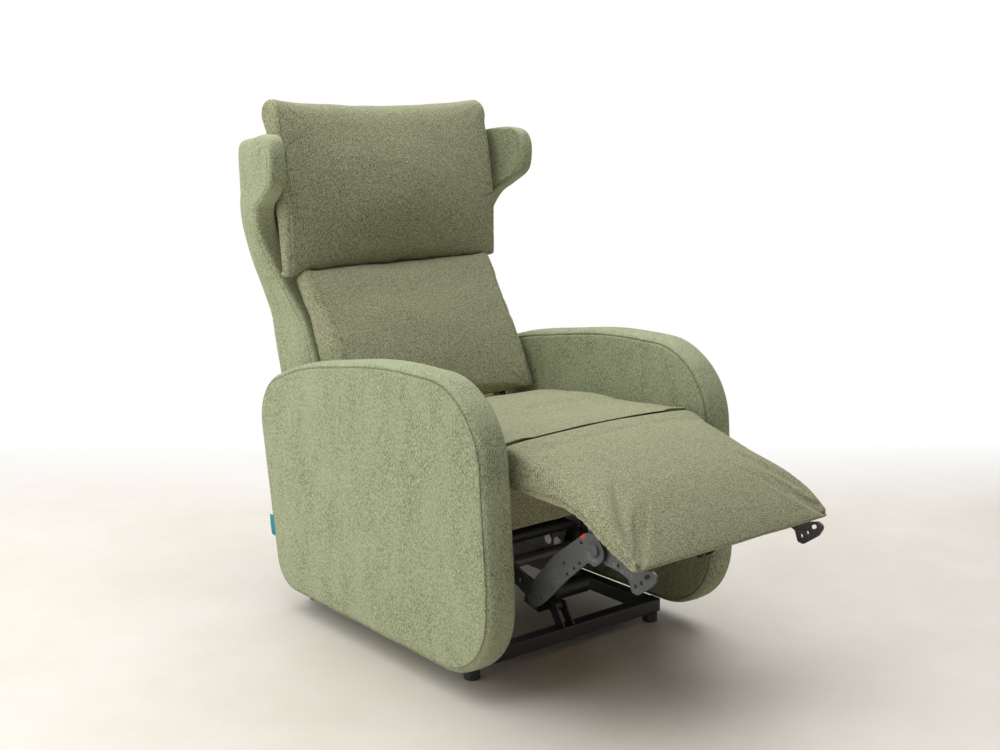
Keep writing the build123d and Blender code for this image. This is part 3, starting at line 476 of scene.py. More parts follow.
thread = coated("sewing_thread", {
    "Coat": srgb(84, 88, 64), "Rubbed": srgb(104, 108, 82), "Dust": srgb(98, 101, 78),
    "Grain": 3000.0, "Gloss Low": 0.7, "Gloss High": 0.85,
}, 0.4)
THREAD_R = 0.00045
THREAD_SIDES = 6
STITCH = 0.0042
PITCH = 0.0058
# Places along a stitch, with the share of the thread's radius there.
BEAD = ((-0.5, 0.35), (-0.32, 1.0), (0.32, 1.0), (0.5, 0.35))
LONGEST_STEP = 0.05
SIDES = ((-1, "right"), (1, "left"))


def add_piece(name, shell):
    """A new smooth piece from a mesh in the making, which is let go."""
    mesh = bpy.data.meshes.new(name)
    shell.to_mesh(mesh)
    shell.free()
    mesh.shade_smooth()
    return add_object(name, mesh)


def add_stitch(shell, middle, way, up):
    """One bead of thread along way, partly sunk in the cover."""
    side = up.cross(way).normalized()
    top = way.cross(side)
    middle = middle + up * (THREAD_R * 0.5)
    rings = []
    for share, radius in BEAD:
        ring = []
        for k in range(THREAD_SIDES):
            turn = math.tau * k / THREAD_SIDES
            around = side * math.cos(turn) + top * math.sin(turn)
            ring.append(shell.verts.new(middle + way * (STITCH * share) + around * (THREAD_R * radius)))
        rings.append(ring)
    for first, second in zip(rings, rings[1:]):
        for k in range(THREAD_SIDES):
            after = (k + 1) % THREAD_SIDES
            shell.faces.new((first[k], first[after], second[after], second[k]))
    shell.faces.new(rings[0][::-1])
    shell.faces.new(rings[-1])


def stitch_run(name, line, body):
    """Top stitching: one short bead of thread after another along a line of (place, normal)."""
    shell = bmesh.new()
    gone = 0.0
    for (here, up), (after, _) in zip(line, line[1:]):
        step = (after - here).length
        if step < 1e-6 or step > LONGEST_STEP:
            continue
        while gone < step:
            add_stitch(shell, here.lerp(after, gone / step), (after - here) / step, up)
            gone += PITCH
        gone -= step
    dress(add_piece(name, shell), thread, body, "green_fabric")


def laid_on(piece, spots, way):
    """Each spot moved along way until it meets the cover, with the cover's normal there."""
    tree = tree_of(piece)
    found = []
    for spot in spots:
        place, normal, _, _ = tree.ray_cast(Vector(spot), Vector(way))
        if place is not None:
            found.append((place, normal))
    return found


FINE_VOXEL = 0.0055
INSET = 0.004
SNUG = 0.0002
NO_PULL = 1.0
SEAM_WIDTH = 0.0035
SEAT_TOP = 0.44
SEAT_SWELL = 0.024
SEAT_PROUD = 0.008
# Where each sewn channel lies in y, its depth and its width.
SEAT_CHANNELS = ((-0.205, 0.003, 0.016), (-0.06, 0.002, 0.014))
SEAT_SEAM = 0.016
SEAT_SEAM_DEEP = 0.0022
SEAT_CROWN = 0.013
KNEE_Y, KNEE_Z = -0.405, 0.462
KNEE_CROWN = 0.010
KNEE_CUP = 0.056
seat_low, seat_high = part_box("seat_cushion")
seat = copy_of("seat_cushion", "seat_cushion_cover")
skin(seat, "seat_cushion", FINE_VOXEL, 2)
spots = points_of(seat)
seat_held = 1.0 - smooth_step(spots[:, 2], seat_low.z + 0.015, seat_low.z + 0.04)
seat_held = np.maximum(seat_held, smooth_step(-spots[:, 1], 0.345, 0.37))
stuff(seat, seat_held, INSET, SEAT_SWELL)
spots = points_of(seat)
side_room = smooth_step(np.abs(spots[:, 0]), seat_high.x - 0.03, seat_high.x - 0.006)
front_room = smooth_step(-spots[:, 1], 0.36, 0.395)
keep_in(seat, "seat_cushion", SNUG + SEAT_PROUD * (1.0 - side_room) * (1.0 - front_room))
shaped(seat, "SUBSURF", levels=1)
spots = points_of(seat)
on_top = spots[:, 2] > SEAT_TOP
for line_y, depth, width in SEAT_CHANNELS:
    draw_in(seat, np.where(on_top, np.abs(spots[:, 1] - line_y), NO_PULL), depth, width)
seam_x = seat_high.x - SEAT_SEAM
from_seam = np.where(on_top, np.abs(np.abs(spots[:, 0]) - seam_x), NO_PULL)
draw_in(seat, from_seam, SEAT_SEAM_DEEP, SEAM_WIDTH)
ruffle(seat, 0.0016, 0.07, 3.0)


def crowned(spots, half):
    """How far the fabric knee stands up at each point: most in the middle, nothing at the sides."""
    return KNEE_CROWN * np.clip(1.0 - (spots[:, 0] / half) ** 2, 0.0, 1.0)


spots = points_of(seat)
top = (spots[:, 2] > SEAT_TOP) & (normals_of(seat)[:, 2] > 0.15)
rear_rise = smooth_step(spots[:, 1], -0.30, -0.12) * (1.0 - smooth_step(spots[:, 1], 0.02, 0.085))
rear_rise *= 1.0 - 0.5 * (np.abs(spots[:, 0]) / seat_high.x) ** 4
knee_rise = crowned(spots, seat_high.x)
from_knee = spots[:, 1:] - (KNEE_Y, KNEE_Z)
reach = np.linalg.norm(from_knee, axis=1)
cup = ~top & (reach < KNEE_CUP) & (from_knee[:, 1] > -0.012)
rise = SEAT_CROWN * rear_rise + knee_rise * (1.0 - smooth_step(spots[:, 1], -0.36, -0.24))
spots[:, 2] += np.where(top, rise, 0.0)
spots[:, 1:] += from_knee / reach[:, None] * np.where(cup, knee_rise, 0.0)[:, None]
set_points(seat, spots)
dress(seat, cushion_cloth, "chair", "green_fabric", "seat_cushion")
for side, label in SIDES:
    line = [(side * (seam_x - 0.005), y, 0.7) for y in np.linspace(-0.345, 0.08, 90)]
    stitch_run("seat_stitch_" + label, laid_on(seat, line, (0, 0, -1)), "chair")

# Fascia: a panel of the same cloth over thin foam, stapled to the front rail under the seat.
# Its apron hangs between the drive links.
fascia = copy_of("front_fascia", "front_fascia_cover")
skin(fascia, "front_fascia", 0.004, 2)
ruffle(fascia, 0.0012, 0.05, 7.0)
dress(fascia, cushion_cloth, "chair", "green_fabric", "front_fascia")

# Arms: a board inside foam, covered with two flat cheeks and a strip sewn between them all round.
# The cloth is brushed so that its nap runs down the cheeks.
paint(plywood, "arm_boards")
arm_cloth = chenille("arm_chenille", {
    "Light": srgb(186, 193, 157), "Dark": srgb(96, 102, 77), "Brushed": srgb(174, 180, 147),
    "Fleck": srgb(98, 104, 80), "Yarn": 520.0, "Nap": 17.0, "Brush": 0.5,
    "Stretch": (1.0, 1.0, 0.45), "Turn": (0.0, 0.0, 0.0),
}, 0.4)
ARM_EDGE = 0.02
ARM_ROUND = 420
ARM_TURNS = (0, 10, 20, 30, 40, 48, 55, 58, 61, 63, 64.5, 66, 67.5, 69, 71, 74, 77, 83, 90)
ARM_SEAM = 66.0
ARM_STITCH = math.radians(58.0)
ARM_FLAT = 0.032
# Shares of the way from the edge to the spine, with the height over the flat cheek there.
ARM_CROWN = (
    (0.0, 0.0004), (0.12, 0.0010), (0.3, 0.0016), (0.55, 0.0020), (0.8, 0.0022), (0.985, 0.0022),
)
ARM_STRIP_CROWN = 0.0008
SPINE_FRONT = 0.28
SPINE_REAR = 0.26
SEAM_DEEP = 0.0032
SEAM_WIDE = 3.4


def outline_of(node, side):
    """The outline of an arm seen from the side, from the edge of its strip, in even steps."""
    low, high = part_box(node)
    level = (low.x if side > 0 else high.x) + side * ARM_EDGE
    flat = [(v.co.y, v.co.z) for v in nodes[node].data.vertices if abs(v.co.x - level) < 0.0002]
    flat = np.unique(np.round(np.array(flat), 6), axis=0)
    centre = np.array([(low.y + high.y) / 2, (low.z + high.z) / 2])
    flat = flat[np.argsort(np.arctan2(flat[:, 1] - centre[1], flat[:, 0] - centre[0]))]
    closed = np.vstack([flat, flat[:1]])
    run = np.concatenate([[0.0], np.cumsum(np.linalg.norm(np.diff(closed, axis=0), axis=1))])
    steps = np.linspace(0.0, run[-1], ARM_ROUND, endpoint=False)
    return np.column_stack([np.interp(steps, run, closed[:, k]) for k in (0, 1)])


def ring_piece(name, rings):
    """A closed skin through rings of points, each of its two ends closed by one face."""
    shell = bmesh.new()
    rows = [[shell.verts.new(spot) for spot in ring] for ring in rings]
    for first, second in zip(rows, rows[1:]):
        for k in range(len(first)):
            shell.faces.new((first[k - 1], first[k], second[k], second[k - 1]))
    for row in (rows[0][::-1], rows[-1]):
        shell.faces.new(row)
    bmesh.ops.recalc_face_normals(shell, faces=shell.faces)
    return add_piece(name, shell)


def make_arm(node, side, label):
    """One arm: half of its strip, the rounded edge with its seam and one cheek, and the same mirrored."""
    low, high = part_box(node)
    outline = outline_of(node, side)
    tangent = np.roll(outline, -1, axis=0) - np.roll(outline, 1, axis=0)
    tangent /= np.linalg.norm(tangent, axis=1, keepdims=True)
    inward = np.column_stack([-tangent[:, 1], tangent[:, 0]])
    middle = (low.x + high.x) / 2
    half = (high.x - low.x) / 2
    strip = half - ARM_EDGE
    spine = np.column_stack([
        np.clip(outline[:, 0], low.y + SPINE_FRONT, high.y - SPINE_REAR),
        np.full(ARM_ROUND, (low.z + high.z) / 2),
    ])
    half_rings = []
    for degrees in ARM_TURNS:
        angle = math.radians(degrees)
        reach = ARM_EDGE - SEAM_DEEP * math.exp(-((degrees - ARM_SEAM) / SEAM_WIDE) ** 2)
        inset = ARM_EDGE - reach * math.cos(angle)
        half_rings.append((outline + inward * inset, strip + reach * math.sin(angle)))
    base = outline + inward * ARM_FLAT
    for share, crown in ARM_CROWN:
        half_rings.append((base + (spine - base) * share, half + crown))
    rings = []
    for flat, out in reversed(half_rings):
        rings.append([(middle - side * out, y, z) for y, z in flat])
    rings.append([(middle, y, z) for y, z in outline - inward * ARM_STRIP_CROWN])
    for flat, out in half_rings:
        rings.append([(middle + side * out, y, z) for y, z in flat])
    arm = ring_piece("arm_" + label, rings)
    ruffle(arm, 0.0009, 0.09, 11.0 + side)
    dress(arm, arm_cloth, "chair", "green_fabric", node)
    rise, lean = math.sin(ARM_STITCH), math.cos(ARM_STITCH)
    beside = outline + inward * (ARM_EDGE - ARM_EDGE * lean)
    for way, cheek in ((side, "outer"), (-side, "inner")):
        line = []
        for (y, z), (in_y, in_z) in zip(beside, inward):
            place = Vector((middle + way * (strip + ARM_EDGE * rise), y, z))
            line.append((place, Vector((way * rise, -in_y * lean, -in_z * lean))))
        stitch_run("arm_stitch_%s_%s" % (label, cheek), line + line[:1], "chair")


make_arm("arm_cover_left", 1, "left")
make_arm("arm_cover_right", -1, "right")

# Tab: a strip of blue-green ribbon, woven with fine ribs and left blank.
# It is folded double and its ends are caught in the rear seam of the right arm.
TAB_LONG = 0.046
TAB_OUT = 0.022
TAB_ROOT = 0.008
TAB_THICK = 0.0005
TAB_GAP = 0.0012
TAB_LEAN = 0.14
TAB_Z = 0.181
TAB_LAYER = 0.007
TAB_STEPS = 12
# Places across the ribbon, with its bow there.
TAB_ROWS = ((-0.5, 0.0), (-0.25, 0.0004), (0.0, 0.0006), (0.25, 0.0004), (0.5, 0.0))
REAR_Y = 0.2


def make_ribbon():
    material, tree, shader = new_material("tab_ribbon", {"Roughness": 0.7})
    ribs = add_node(
        tree, "ShaderNodeTexWave", {"Vector": own_place(tree), "Scale": 420.0}, bands_direction="Z",
    ).outputs["Fac"]
    wire(tree, shader, new_mix(tree, ribs, srgb(8, 118, 132), srgb(26, 148, 160)), ribs, 0.4, 0.0004)
    return material


def make_tab():
    """The folded ribbon, from one caught end out to its fold and back to the other."""
    outline = outline_of("arm_cover_right", -1)
    rear = outline[outline[:, 0] > REAR_Y]
    root_y, root_z = rear[np.argmin(np.abs(rear[:, 1] - TAB_Z))]
    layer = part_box("arm_cover_right")[0].x + TAB_LAYER
    shell = bmesh.new()
    rows = []
    for k in range(TAB_STEPS + 1):
        turn = math.pi * (k / TAB_STEPS)
        out = TAB_OUT * math.sin(turn) ** 0.55 - TAB_ROOT
        gap = TAB_GAP * math.cos(turn)
        row = []
        for up, bow in TAB_ROWS:
            y = root_y + out + (up * TAB_LONG) * TAB_LEAN
            row.append(shell.verts.new((layer - gap - bow, y, root_z + up * TAB_LONG)))
        rows.append(row)
    for first, second in zip(rows, rows[1:]):
        for k in range(len(TAB_ROWS) - 1):
            shell.faces.new((first[k], first[k + 1], second[k + 1], second[k]))
    tab = add_piece("arm_tab", shell)
    shaped(tab, "SOLIDIFY", thickness=TAB_THICK, offset=0.0)
    dress(tab, make_ribbon(), "chair", "green_fabric")


make_tab()

# Switch panel: a black plastic box let into the inner face of the right arm, with two sprung buttons.
# The buttons move on their own bodies.
button_plastic = coated("button_plastic", {
    "Coat": srgb(54, 55, 57), "Rubbed": srgb(88, 88, 88), "Dust": srgb(104, 100, 94),
    "Grain": 2600.0, "Gloss Low": 0.4, "Gloss High": 0.55,
}, 0.25)
paint(black_plastic, "switch_panel")
paint(button_plastic, "button_rise", "button_recline")

# Back frame: bent plywood posts and rails with webbing stretched between them, as in the seat.
# It turns on two steel brackets, which are fixed to the posts, and a pivot tube.
paint(plywood, "back_posts", "back_rails")
paint(black_powder, "back_brackets", "back_tube")
paint(zinc_steel, "back_pins")
make_straps("back_webbing", "backrest", "back_straps")

# Wings: padded sides of the back that flare to ears, each with an outer cheek, an inner cheek
# and a strip between them round the front, sewn with a seam on either side of that strip.
WING_X = 0.262
WING_T = 0.0391
WING_EDGE = 0.010
WING_SEAM = 0.0015
WING_SAG = 0.0032
WING_GROOVE = 0.0022
WING_FLAT = 0.006
WING_CHEEK = 8
WING_ROUND = 5
WING_STEPS = 8
WING_SLOPE = 0.016
# The two rings that close the top: their share of the last section, and their height over it.
WING_TOP = ((0.7, 0.0012), (0.35, 0.0018))
# The points of a section beside its seams, and the sections at the top without stitches.
OUTER_SEAM, INNER_SEAM = 8, 28
BARE_SECTIONS = 10
# Level sections: z, front and rear y, how far front and rear flare out, and thickness.
wing_rows = [
    (0.440, 0.224, 0.405, 0.0, 0.0, 0.0391), (0.530, 0.246, 0.418, 0.0, 0.0, 0.0391),
    (0.600, 0.272, 0.438, 0.0, 0.0, 0.0391), (0.650, 0.296, 0.446, 0.002, 0.002, 0.0411),
    (0.690, 0.315, 0.450, 0.013, 0.013, 0.0521), (0.725, 0.332, 0.453, 0.024, 0.024, 0.0571),
    (0.770, 0.350, 0.455, 0.040, 0.040, 0.0561), (0.850, 0.366, 0.456, 0.070, 0.062, 0.0511),
    (0.905, 0.345, 0.455, 0.086, 0.068, 0.0451), (0.934, 0.303, 0.453, 0.093, 0.0675, 0.0411),
    (0.960, 0.264, 0.451, 0.100, 0.0695, 0.0391), (0.985, 0.252, 0.449, 0.104, 0.071, 0.0391),
    (1.025, 0.250, 0.447, 0.1045, 0.073, 0.0391), (1.050, 0.257, 0.445, 0.102, 0.073, 0.0375),
    (1.062, 0.268, 0.440, 0.098, 0.0725, 0.0328), (1.0675, 0.283, 0.432, 0.093, 0.071, 0.0235),
]


def wing_section(row, side):
    """One level section of a wing, from its rear outer corner round the front and back."""
    z, y_front, y_rear, out_front, out_rear, thick = row
    inset = max(0.0, (WING_T - thick) / 2)
    rear = Vector((WING_X + out_rear - inset, y_rear, 0))
    front = Vector((WING_X + out_front - inset, y_front, 0))
    along = (front - rear).normalized()
    inward = Vector((along.y, -along.x, 0))
    if inward.x > 0:
        inward = -inward
    length = (front - rear).length
    edge = min(WING_EDGE, thick * 0.4)
    bevel = edge * 0.3
    sag = min(WING_SAG, thick * 0.08)
    stop = length - edge - WING_SEAM
    flat = stop - WING_FLAT
    cheek = [k / WING_CHEEK for k in range(WING_CHEEK + 1)]
    turns = [math.radians(90.0 * k / WING_ROUND) for k in range(1, WING_ROUND)]
    loop = [(edge + (flat - edge) * share, 0.0) for share in cheek]
    loop.extend([(stop - WING_GROOVE, 0.0), (stop, sag), (stop + WING_GROOVE, 0.0)])
    for turn in turns:
        loop.append((length - edge + edge * math.sin(turn), edge - edge * math.cos(turn)))
    for share in (0.0, 0.25, 0.5, 0.75, 1.0):
        loop.append((length, edge + (thick - 2 * edge) * share))
    for turn in turns:
        loop.append((length - edge + edge * math.cos(turn), thick - edge + edge * math.sin(turn)))
    loop.extend([(stop + WING_GROOVE, thick), (stop, thick - sag), (stop - WING_GROOVE, thick)])
    loop.extend([(flat - (flat - edge) * share, thick) for share in cheek])
    loop.extend([(bevel, thick - bevel), (0.0, thick - edge), (0.0, edge), (bevel, bevel)])
    spots = [rear + along * u + inward * v for u, v in loop]
    return np.array([(side * spot.x, spot.y, z) for spot in spots])


def between_rows(rows, steps):
    """A smooth run of sections through the given ones."""
    out = []
    for i in range(len(rows) - 1):
        a, b, c, d = rows[max(i - 1, 0)], rows[i], rows[i + 1], rows[min(i + 2, len(rows) - 1)]
        for k in range(steps):
            t = k / steps
            out.append(0.5 * (2 * b + (c - a) * t + (2 * a - 5 * b + 4 * c - d) * t ** 2
                              + (3 * b - a - 3 * c + d) * t ** 3))
    out.append(rows[-1])
    return out


def make_wing(side, label):
    """One wing, its ear's top sloping to the rear, with stitches beside both seams."""
    sections = between_rows([wing_section(row, side) for row in wing_rows], WING_STEPS)
    last = sections[-1]
    centre = last.mean(axis=0)
    for share, rise in WING_TOP:
        sections.append(centre + (last - centre) * share + np.array([0, 0, rise]))
    for section in sections:
        to_rear = smooth_step(section[:, 1], 0.30, 0.44)
        section[:, 2] -= WING_SLOPE * smooth_step(section[:, 2], 0.98, 1.06) * to_rear
    wing = ring_piece("wing_cover_" + label, sections)
    for here, there, cheek in ((OUTER_SEAM, INNER_SEAM, "outer"), (INNER_SEAM, OUTER_SEAM, "inner")):
        line = []
        for section in sections[:-BARE_SECTIONS]:
            spot, other = Vector(section[here]), Vector(section[there])
            line.append((spot, (spot - other).normalized()))
        stitch_run("wing_stitch_%s_%s" % (label, cheek), line, "backrest")
    ruffle(wing, 0.0010, 0.06, 21.0 + side)
    dress(wing, arm_cloth, "backrest", "green_fabric", "wing_" + label)


make_wing(1, "left")
make_wing(-1, "right")

# Rear panel: the arms' cloth over thin foam, which closes the back between the wings.
# It is stapled to the posts under the cloth and sewn down both sides.
VOXEL = 0.006
PANEL_BULGE = 0.006
PANEL_SEAM = 0.02
PANEL_SEAM_DEEP = 0.003
PANEL_SEAM_WIDTH = 0.004


def panel_half(z, low, flare):
    """Half the width of the rear panel at a height: narrow below, and wider where the wings flare."""
    return low + flare * smooth_step(z, 0.69, 0.9)


panel = copy_of("back_panel", "rear_panel_cover")
skin(panel, "back_panel", VOXEL, 4)
spots = points_of(panel)
half_wide = panel_half(spots[:, 2], 0.225, 0.06)
rear_face = normals_of(panel)[:, 1] > 0.4
bulge = PANEL_BULGE * np.clip(1.0 - (spots[:, 0] / half_wide) ** 2, 0.0, 1.0)
spots[:, 1] += np.where(rear_face, bulge, 0.0)
set_points(panel, spots)
shaped(panel, "SUBSURF", levels=1)
spots = points_of(panel)
half_wide = panel_half(spots[:, 2], 0.216, 0.064)
rear_face = normals_of(panel)[:, 1] > 0.4
from_seam = np.where(rear_face, np.abs(np.abs(spots[:, 0]) - half_wide + PANEL_SEAM), NO_PULL)
draw_in(panel, from_seam, PANEL_SEAM_DEEP, PANEL_SEAM_WIDTH)
ruffle(panel, 0.0015, 0.11, 31.0)
dress(panel, arm_cloth, "backrest", "green_fabric", "back_panel")

# Lumbar cushion: a fibre-filled cushion with narrow boxed sides, zipped to the back under the head cushion.
# Its filling pulls short puckers beside the side seams and spreads its top over the wings.
BOXED = 0.014
SEAM_HOLD = 0.8
SEAM_REACH = 0.004
BACK_SNUG = 0.0003
PUCKER_WIDTH = 0.0045
CLEAR_OF = 9.0
FROM_FRONT = -0.2


def sewn_cushion(node, back_way, back_from, swell, proud, seam_deep):
    """A filled cushion with boxed sides, its back held flat and its two side seams drawn in."""
    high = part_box(node)[1]
    seam = high.x - BOXED
    cushion = copy_of(node, node + "_cover")
    skin(cushion, node, VOXEL, 2)
    from_seam = np.abs(points_of(cushion)[:, 0]) - seam
    held = smooth_step(normals_of(cushion) @ np.array(back_way), back_from, 0.6)
    held = np.maximum(held, SEAM_HOLD * np.exp(-(from_seam / SEAM_REACH) ** 2))
    stuff(cushion, held, INSET, swell)
    side_room = smooth_step(np.abs(points_of(cushion)[:, 0]), high.x - 0.02, high.x)
    keep_in(cushion, node, BACK_SNUG + proud * (1.0 - side_room) * (normals_of(cushion)[:, 1] < 0.2))
    shaped(cushion, "SUBSURF", levels=1)
    from_seam = np.abs(np.abs(points_of(cushion)[:, 0]) - seam)
    front = normals_of(cushion)[:, 1] < 0.3
    draw_in(cushion, np.where(front, from_seam, NO_PULL), seam_deep, SEAM_WIDTH)
    return cushion, seam, high.x


def pucker(piece, at_x, at_z, lean, long, depth):
    """A short soft crease in a cushion's front on both sides, mirrored, leaning from the level."""
    spots = points_of(piece)
    across, rise = np.abs(spots[:, 0]) - at_x, spots[:, 2] - at_z
    along = across * math.cos(lean) + rise * math.sin(lean)
    beside = rise * math.cos(lean) - across * math.sin(lean)
    far = np.hypot(beside / PUCKER_WIDTH, along / long)
    draw_in(piece, np.where(normals_of(piece)[:, 1] < 0.3, far, CLEAR_OF), depth, 1.0)


lumbar, seam_x, _ = sewn_cushion("lumbar_cushion", (0.0, 0.93, -0.37), 0.2, 0.026, 0.007, 0.0026)
for at_z, lean, long, depth in (
    (0.545, 40.0, 0.016, 0.0022), (0.583, 55.0, 0.012, 0.0026), (0.622, 48.0, 0.018, 0.0030),
    (0.655, 62.0, 0.011, 0.0020), (0.700, 50.0, 0.013, 0.0022),
):
    pucker(lumbar, seam_x - 0.004, at_z, math.radians(lean), long, depth)
ruffle(lumbar, 0.0022, 0.06, 41.0)


def lumbar_spread(z):
    """How much wider the filling pushes the lumbar cushion at a height."""
    return 1.0 + 0.045 * smooth_step(z, 0.655, 0.745)


spots = points_of(lumbar)
spots[:, 0] *= lumbar_spread(spots[:, 2])
spots[:, 2] += 0.008 * smooth_step(spots[:, 2], 0.70, 0.755)
set_points(lumbar, spots)
dress(lumbar, cushion_cloth, "backrest", "green_fabric", "lumbar_cushion")
for side, label in SIDES:
    line = []
    for z in np.linspace(0.475, 0.75, 70):
        line.append((side * (seam_x - 0.006) * lumbar_spread(z), FROM_FRONT, z))
    stitch_run("lumbar_stitch_" + label, laid_on(lumbar, line, (0, 1, 0)), "backrest")

# Head cushion: a fuller cushion of the same make over the lumbar one, its top corners standing up
# and its lower edge lying on the lumbar cushion in loose waves.
HEAD_RAISED = 0.007
HEAD_TILT = 0.005
SKIRT_DROP = 0.010
CORNER_DROP = 0.008
LUMBAR_LEVEL = 0.80
LUMBAR_GAP = 0.001
head, seam_x, head_half = sewn_cushion("head_cushion", (0.0, 1.0, 0.0), 0.25, 0.028, 0.008, 0.003)
for at_z, lean, long, depth in (
    (0.905, 12.0, 0.022, 0.0030), (0.930, -8.0, 0.018, 0.0024), (0.80, 60.0, 0.014, 0.0022),
):
    pucker(head, seam_x - 0.012, at_z, math.radians(lean), long, depth)
ruffle(head, 0.0026, 0.08, 51.0)
spots = points_of(head)
across = spots[:, 0] / head_half
corner = smooth_step(np.abs(spots[:, 0]), head_half - 0.07, head_half - 0.01)
crest = smooth_step(spots[:, 2], 1.04, 1.12)
skirt = 1.0 - smooth_step(spots[:, 2], 0.77, 0.84)
waves = 0.0016 * np.sin(spots[:, 0] * 71.0) + 0.0012 * np.sin(spots[:, 0] * 133.0 + 1.0)
raised = HEAD_RAISED + 0.003 * across ** 2 - HEAD_TILT * across
spots[:, 2] += crest * raised + skirt * (waves - SKIRT_DROP - CORNER_DROP * corner)
spots[:, 0] += 0.008 * smooth_step(-across, 0.6, 1.0) * smooth_step(spots[:, 2], 0.98, 1.10)
spots[:, 0] += 0.006 * smooth_step(across, 0.6, 1.0) * smooth_step(spots[:, 2], 1.075, 1.10)
set_points(head, spots)


def rest_on(piece, below, level, gap):
    """Lift the points of a piece under a level that would lie in the piece below it on to its top."""
    tree = tree_of(below)
    down = Vector((0, 0, -1))
    spots = points_of(piece)
    for i in np.flatnonzero(spots[:, 2] < level):
        place, _, _, _ = tree.ray_cast(Vector((spots[i, 0], spots[i, 1], level + 0.1)), down)
        if place is not None and spots[i, 2] < place.z + gap:
            spots[i, 2] = place.z + gap
    set_points(piece, spots)


rest_on(head, lumbar, LUMBAR_LEVEL, LUMBAR_GAP)
dress(head, cushion_cloth, "backrest", "green_fabric", "head_cushion")
for side, label in SIDES:
    line = [(side * (seam_x - 0.006), FROM_FRONT, z) for z in np.linspace(0.785, 1.10, 80)]
    stitch_run("head_stitch_" + label, laid_on(head, line, (0, 1, 0)), "backrest")

# Legrest: a plywood board on two steel brackets, under a foam pad whose rolled rear end turns at the knee.
# The links that swing it are dark grey steel on pins of the same grey, with yellow washers and a red dab.
paint(plywood, "legrest_board")
paint(black_powder, "drive_tube")
link_grey = coated("dark_grey_links", {
    "Coat": srgb(74, 75, 77), "Rubbed": srgb(116, 117, 118), "Dust": srgb(110, 106, 100),
    "Grain": 1000.0, "Gloss Low": 0.3, "Gloss High": 0.5,
}, 0.22, metallic=0.35)
paint(link_grey, "elbow_pins", "knee_pins", "drive_links", "legrest_brackets")
washer_plastic = coated("yellow_plastic", {
    "Coat": srgb(196, 190, 40), "Rubbed": srgb(214, 208, 80), "Dust": srgb(160, 154, 80),
    "Grain": 2000.0, "Gloss Low": 0.4, "Gloss High": 0.55,
}, 0.2)
paint(washer_plastic, "knee_washers")
RED_SPOT = (0.0, -0.600, 0.378)
RED_CORE, RED_EDGE = 0.006, 0.010


def mark_links():
    """The links' grey with a dab of red paint on their upper corner, left by the maker's check."""
    material = link_grey.copy()
    material.name = "dark_grey_links_marked"
    tree = material.node_tree
    shader = tree.nodes["Principled BSDF"]
    grey = shader.inputs["Base Color"].links[0].from_socket
    part = add_node(tree, "ShaderNodeSeparateXYZ", {0: own_place(tree)}).outputs
    beside = add_node(tree, "ShaderNodeCombineXYZ", {"Y": part["Y"], "Z": part["Z"]}).outputs[0]
    away = add_node(tree, "ShaderNodeVectorMath", {0: beside, 1: RED_SPOT}, operation="DISTANCE")
    share = new_band(tree, away.outputs["Value"], RED_EDGE, RED_CORE)
    tree.links.new(new_mix(tree, share, grey, srgb(196, 52, 40)), shader.inputs["Base Color"])
    return material


paint(mark_links(), "main_links")
PAD_INSET = 0.003
PAD_SWELL = 0.024
PAD_PROUD = 0.007
PAD_SEAM = 0.011
PAD_SEAM_DEEP = 0.0024
PAD_SEAM_WIDTH = 0.003
PAD_SPREAD = 0.05
# The lower edge of the pad's side, from its tip to the knee, in y and z.
pad_edge = np.array([
    (-0.757, 0.352), (-0.712, 0.3695), (-0.664, 0.387), (-0.612, 0.407), (-0.556, 0.419), (-0.440, 0.421),
])


def pad_seam(y):
    """The height of the seam along the pad's sides, above its lower edge."""
    return np.interp(y, pad_edge[:, 0], pad_edge[:, 1]) + PAD_SEAM


pad_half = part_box("legrest_pad")[1].x
pad = copy_of("legrest_pad", "legrest_pad_cover")
skin(pad, "legrest_pad", FINE_VOXEL, 2)
pad_held = smooth_step(-normals_of(pad)[:, 2], 0.1, 0.5)
pad_held = np.maximum(pad_held, smooth_step(points_of(pad)[:, 1], -0.46, -0.43))
stuff(pad, pad_held, PAD_INSET, PAD_SWELL)
rear_room = smooth_step(points_of(pad)[:, 1], -0.50, -0.45)
under = normals_of(pad)[:, 2] < -0.2
keep_in(pad, "legrest_pad", SNUG + PAD_PROUD * (1.0 - rear_room) * (1.0 - under))
shaped(pad, "SUBSURF", levels=1)
spots = points_of(pad)
beside = (np.abs(spots[:, 0]) > pad_half - 0.02) & (spots[:, 1] < -0.44)
from_seam = np.where(beside, np.abs(spots[:, 2] - pad_seam(spots[:, 1])), NO_PULL)
draw_in(pad, from_seam, PAD_SEAM_DEEP, PAD_SEAM_WIDTH)
ruffle(pad, 0.0016, 0.09, 61.0)
spots = points_of(pad)
upward = smooth_step(normals_of(pad)[:, 2], 0.0, 0.4)
knee_rise = crowned(spots, pad_half)
from_knee = spots[:, 1:] - (KNEE_Y, KNEE_Z)
reach = np.linalg.norm(from_knee, axis=1)
rolled = (from_knee[:, 0] > 0.0) * smooth_step(from_knee[:, 1], -0.005, 0.02)
ahead = (from_knee[:, 0] <= 0.0) * upward * (1.0 - smooth_step(-spots[:, 1], 0.42, 0.62))
spots[:, 1:] += from_knee / np.maximum(reach, 0.001)[:, None] * (knee_rise * rolled)[:, None]
spots[:, 2] += knee_rise * ahead
spots[:, 0] *= 1.0 + PAD_SPREAD * smooth_step(-spots[:, 1], 0.58, 0.73)
set_points(pad, spots)
dress(pad, cushion_cloth, "legrest", "green_fabric", "legrest_pad")
for side, label in SIDES:
    line = [(side * 0.5, y, pad_seam(y) + 0.006) for y in np.linspace(-0.46, -0.745, 70)]
    stitch_run("legrest_stitch_" + label, laid_on(pad, line, (-side, 0, 0)), "legrest")

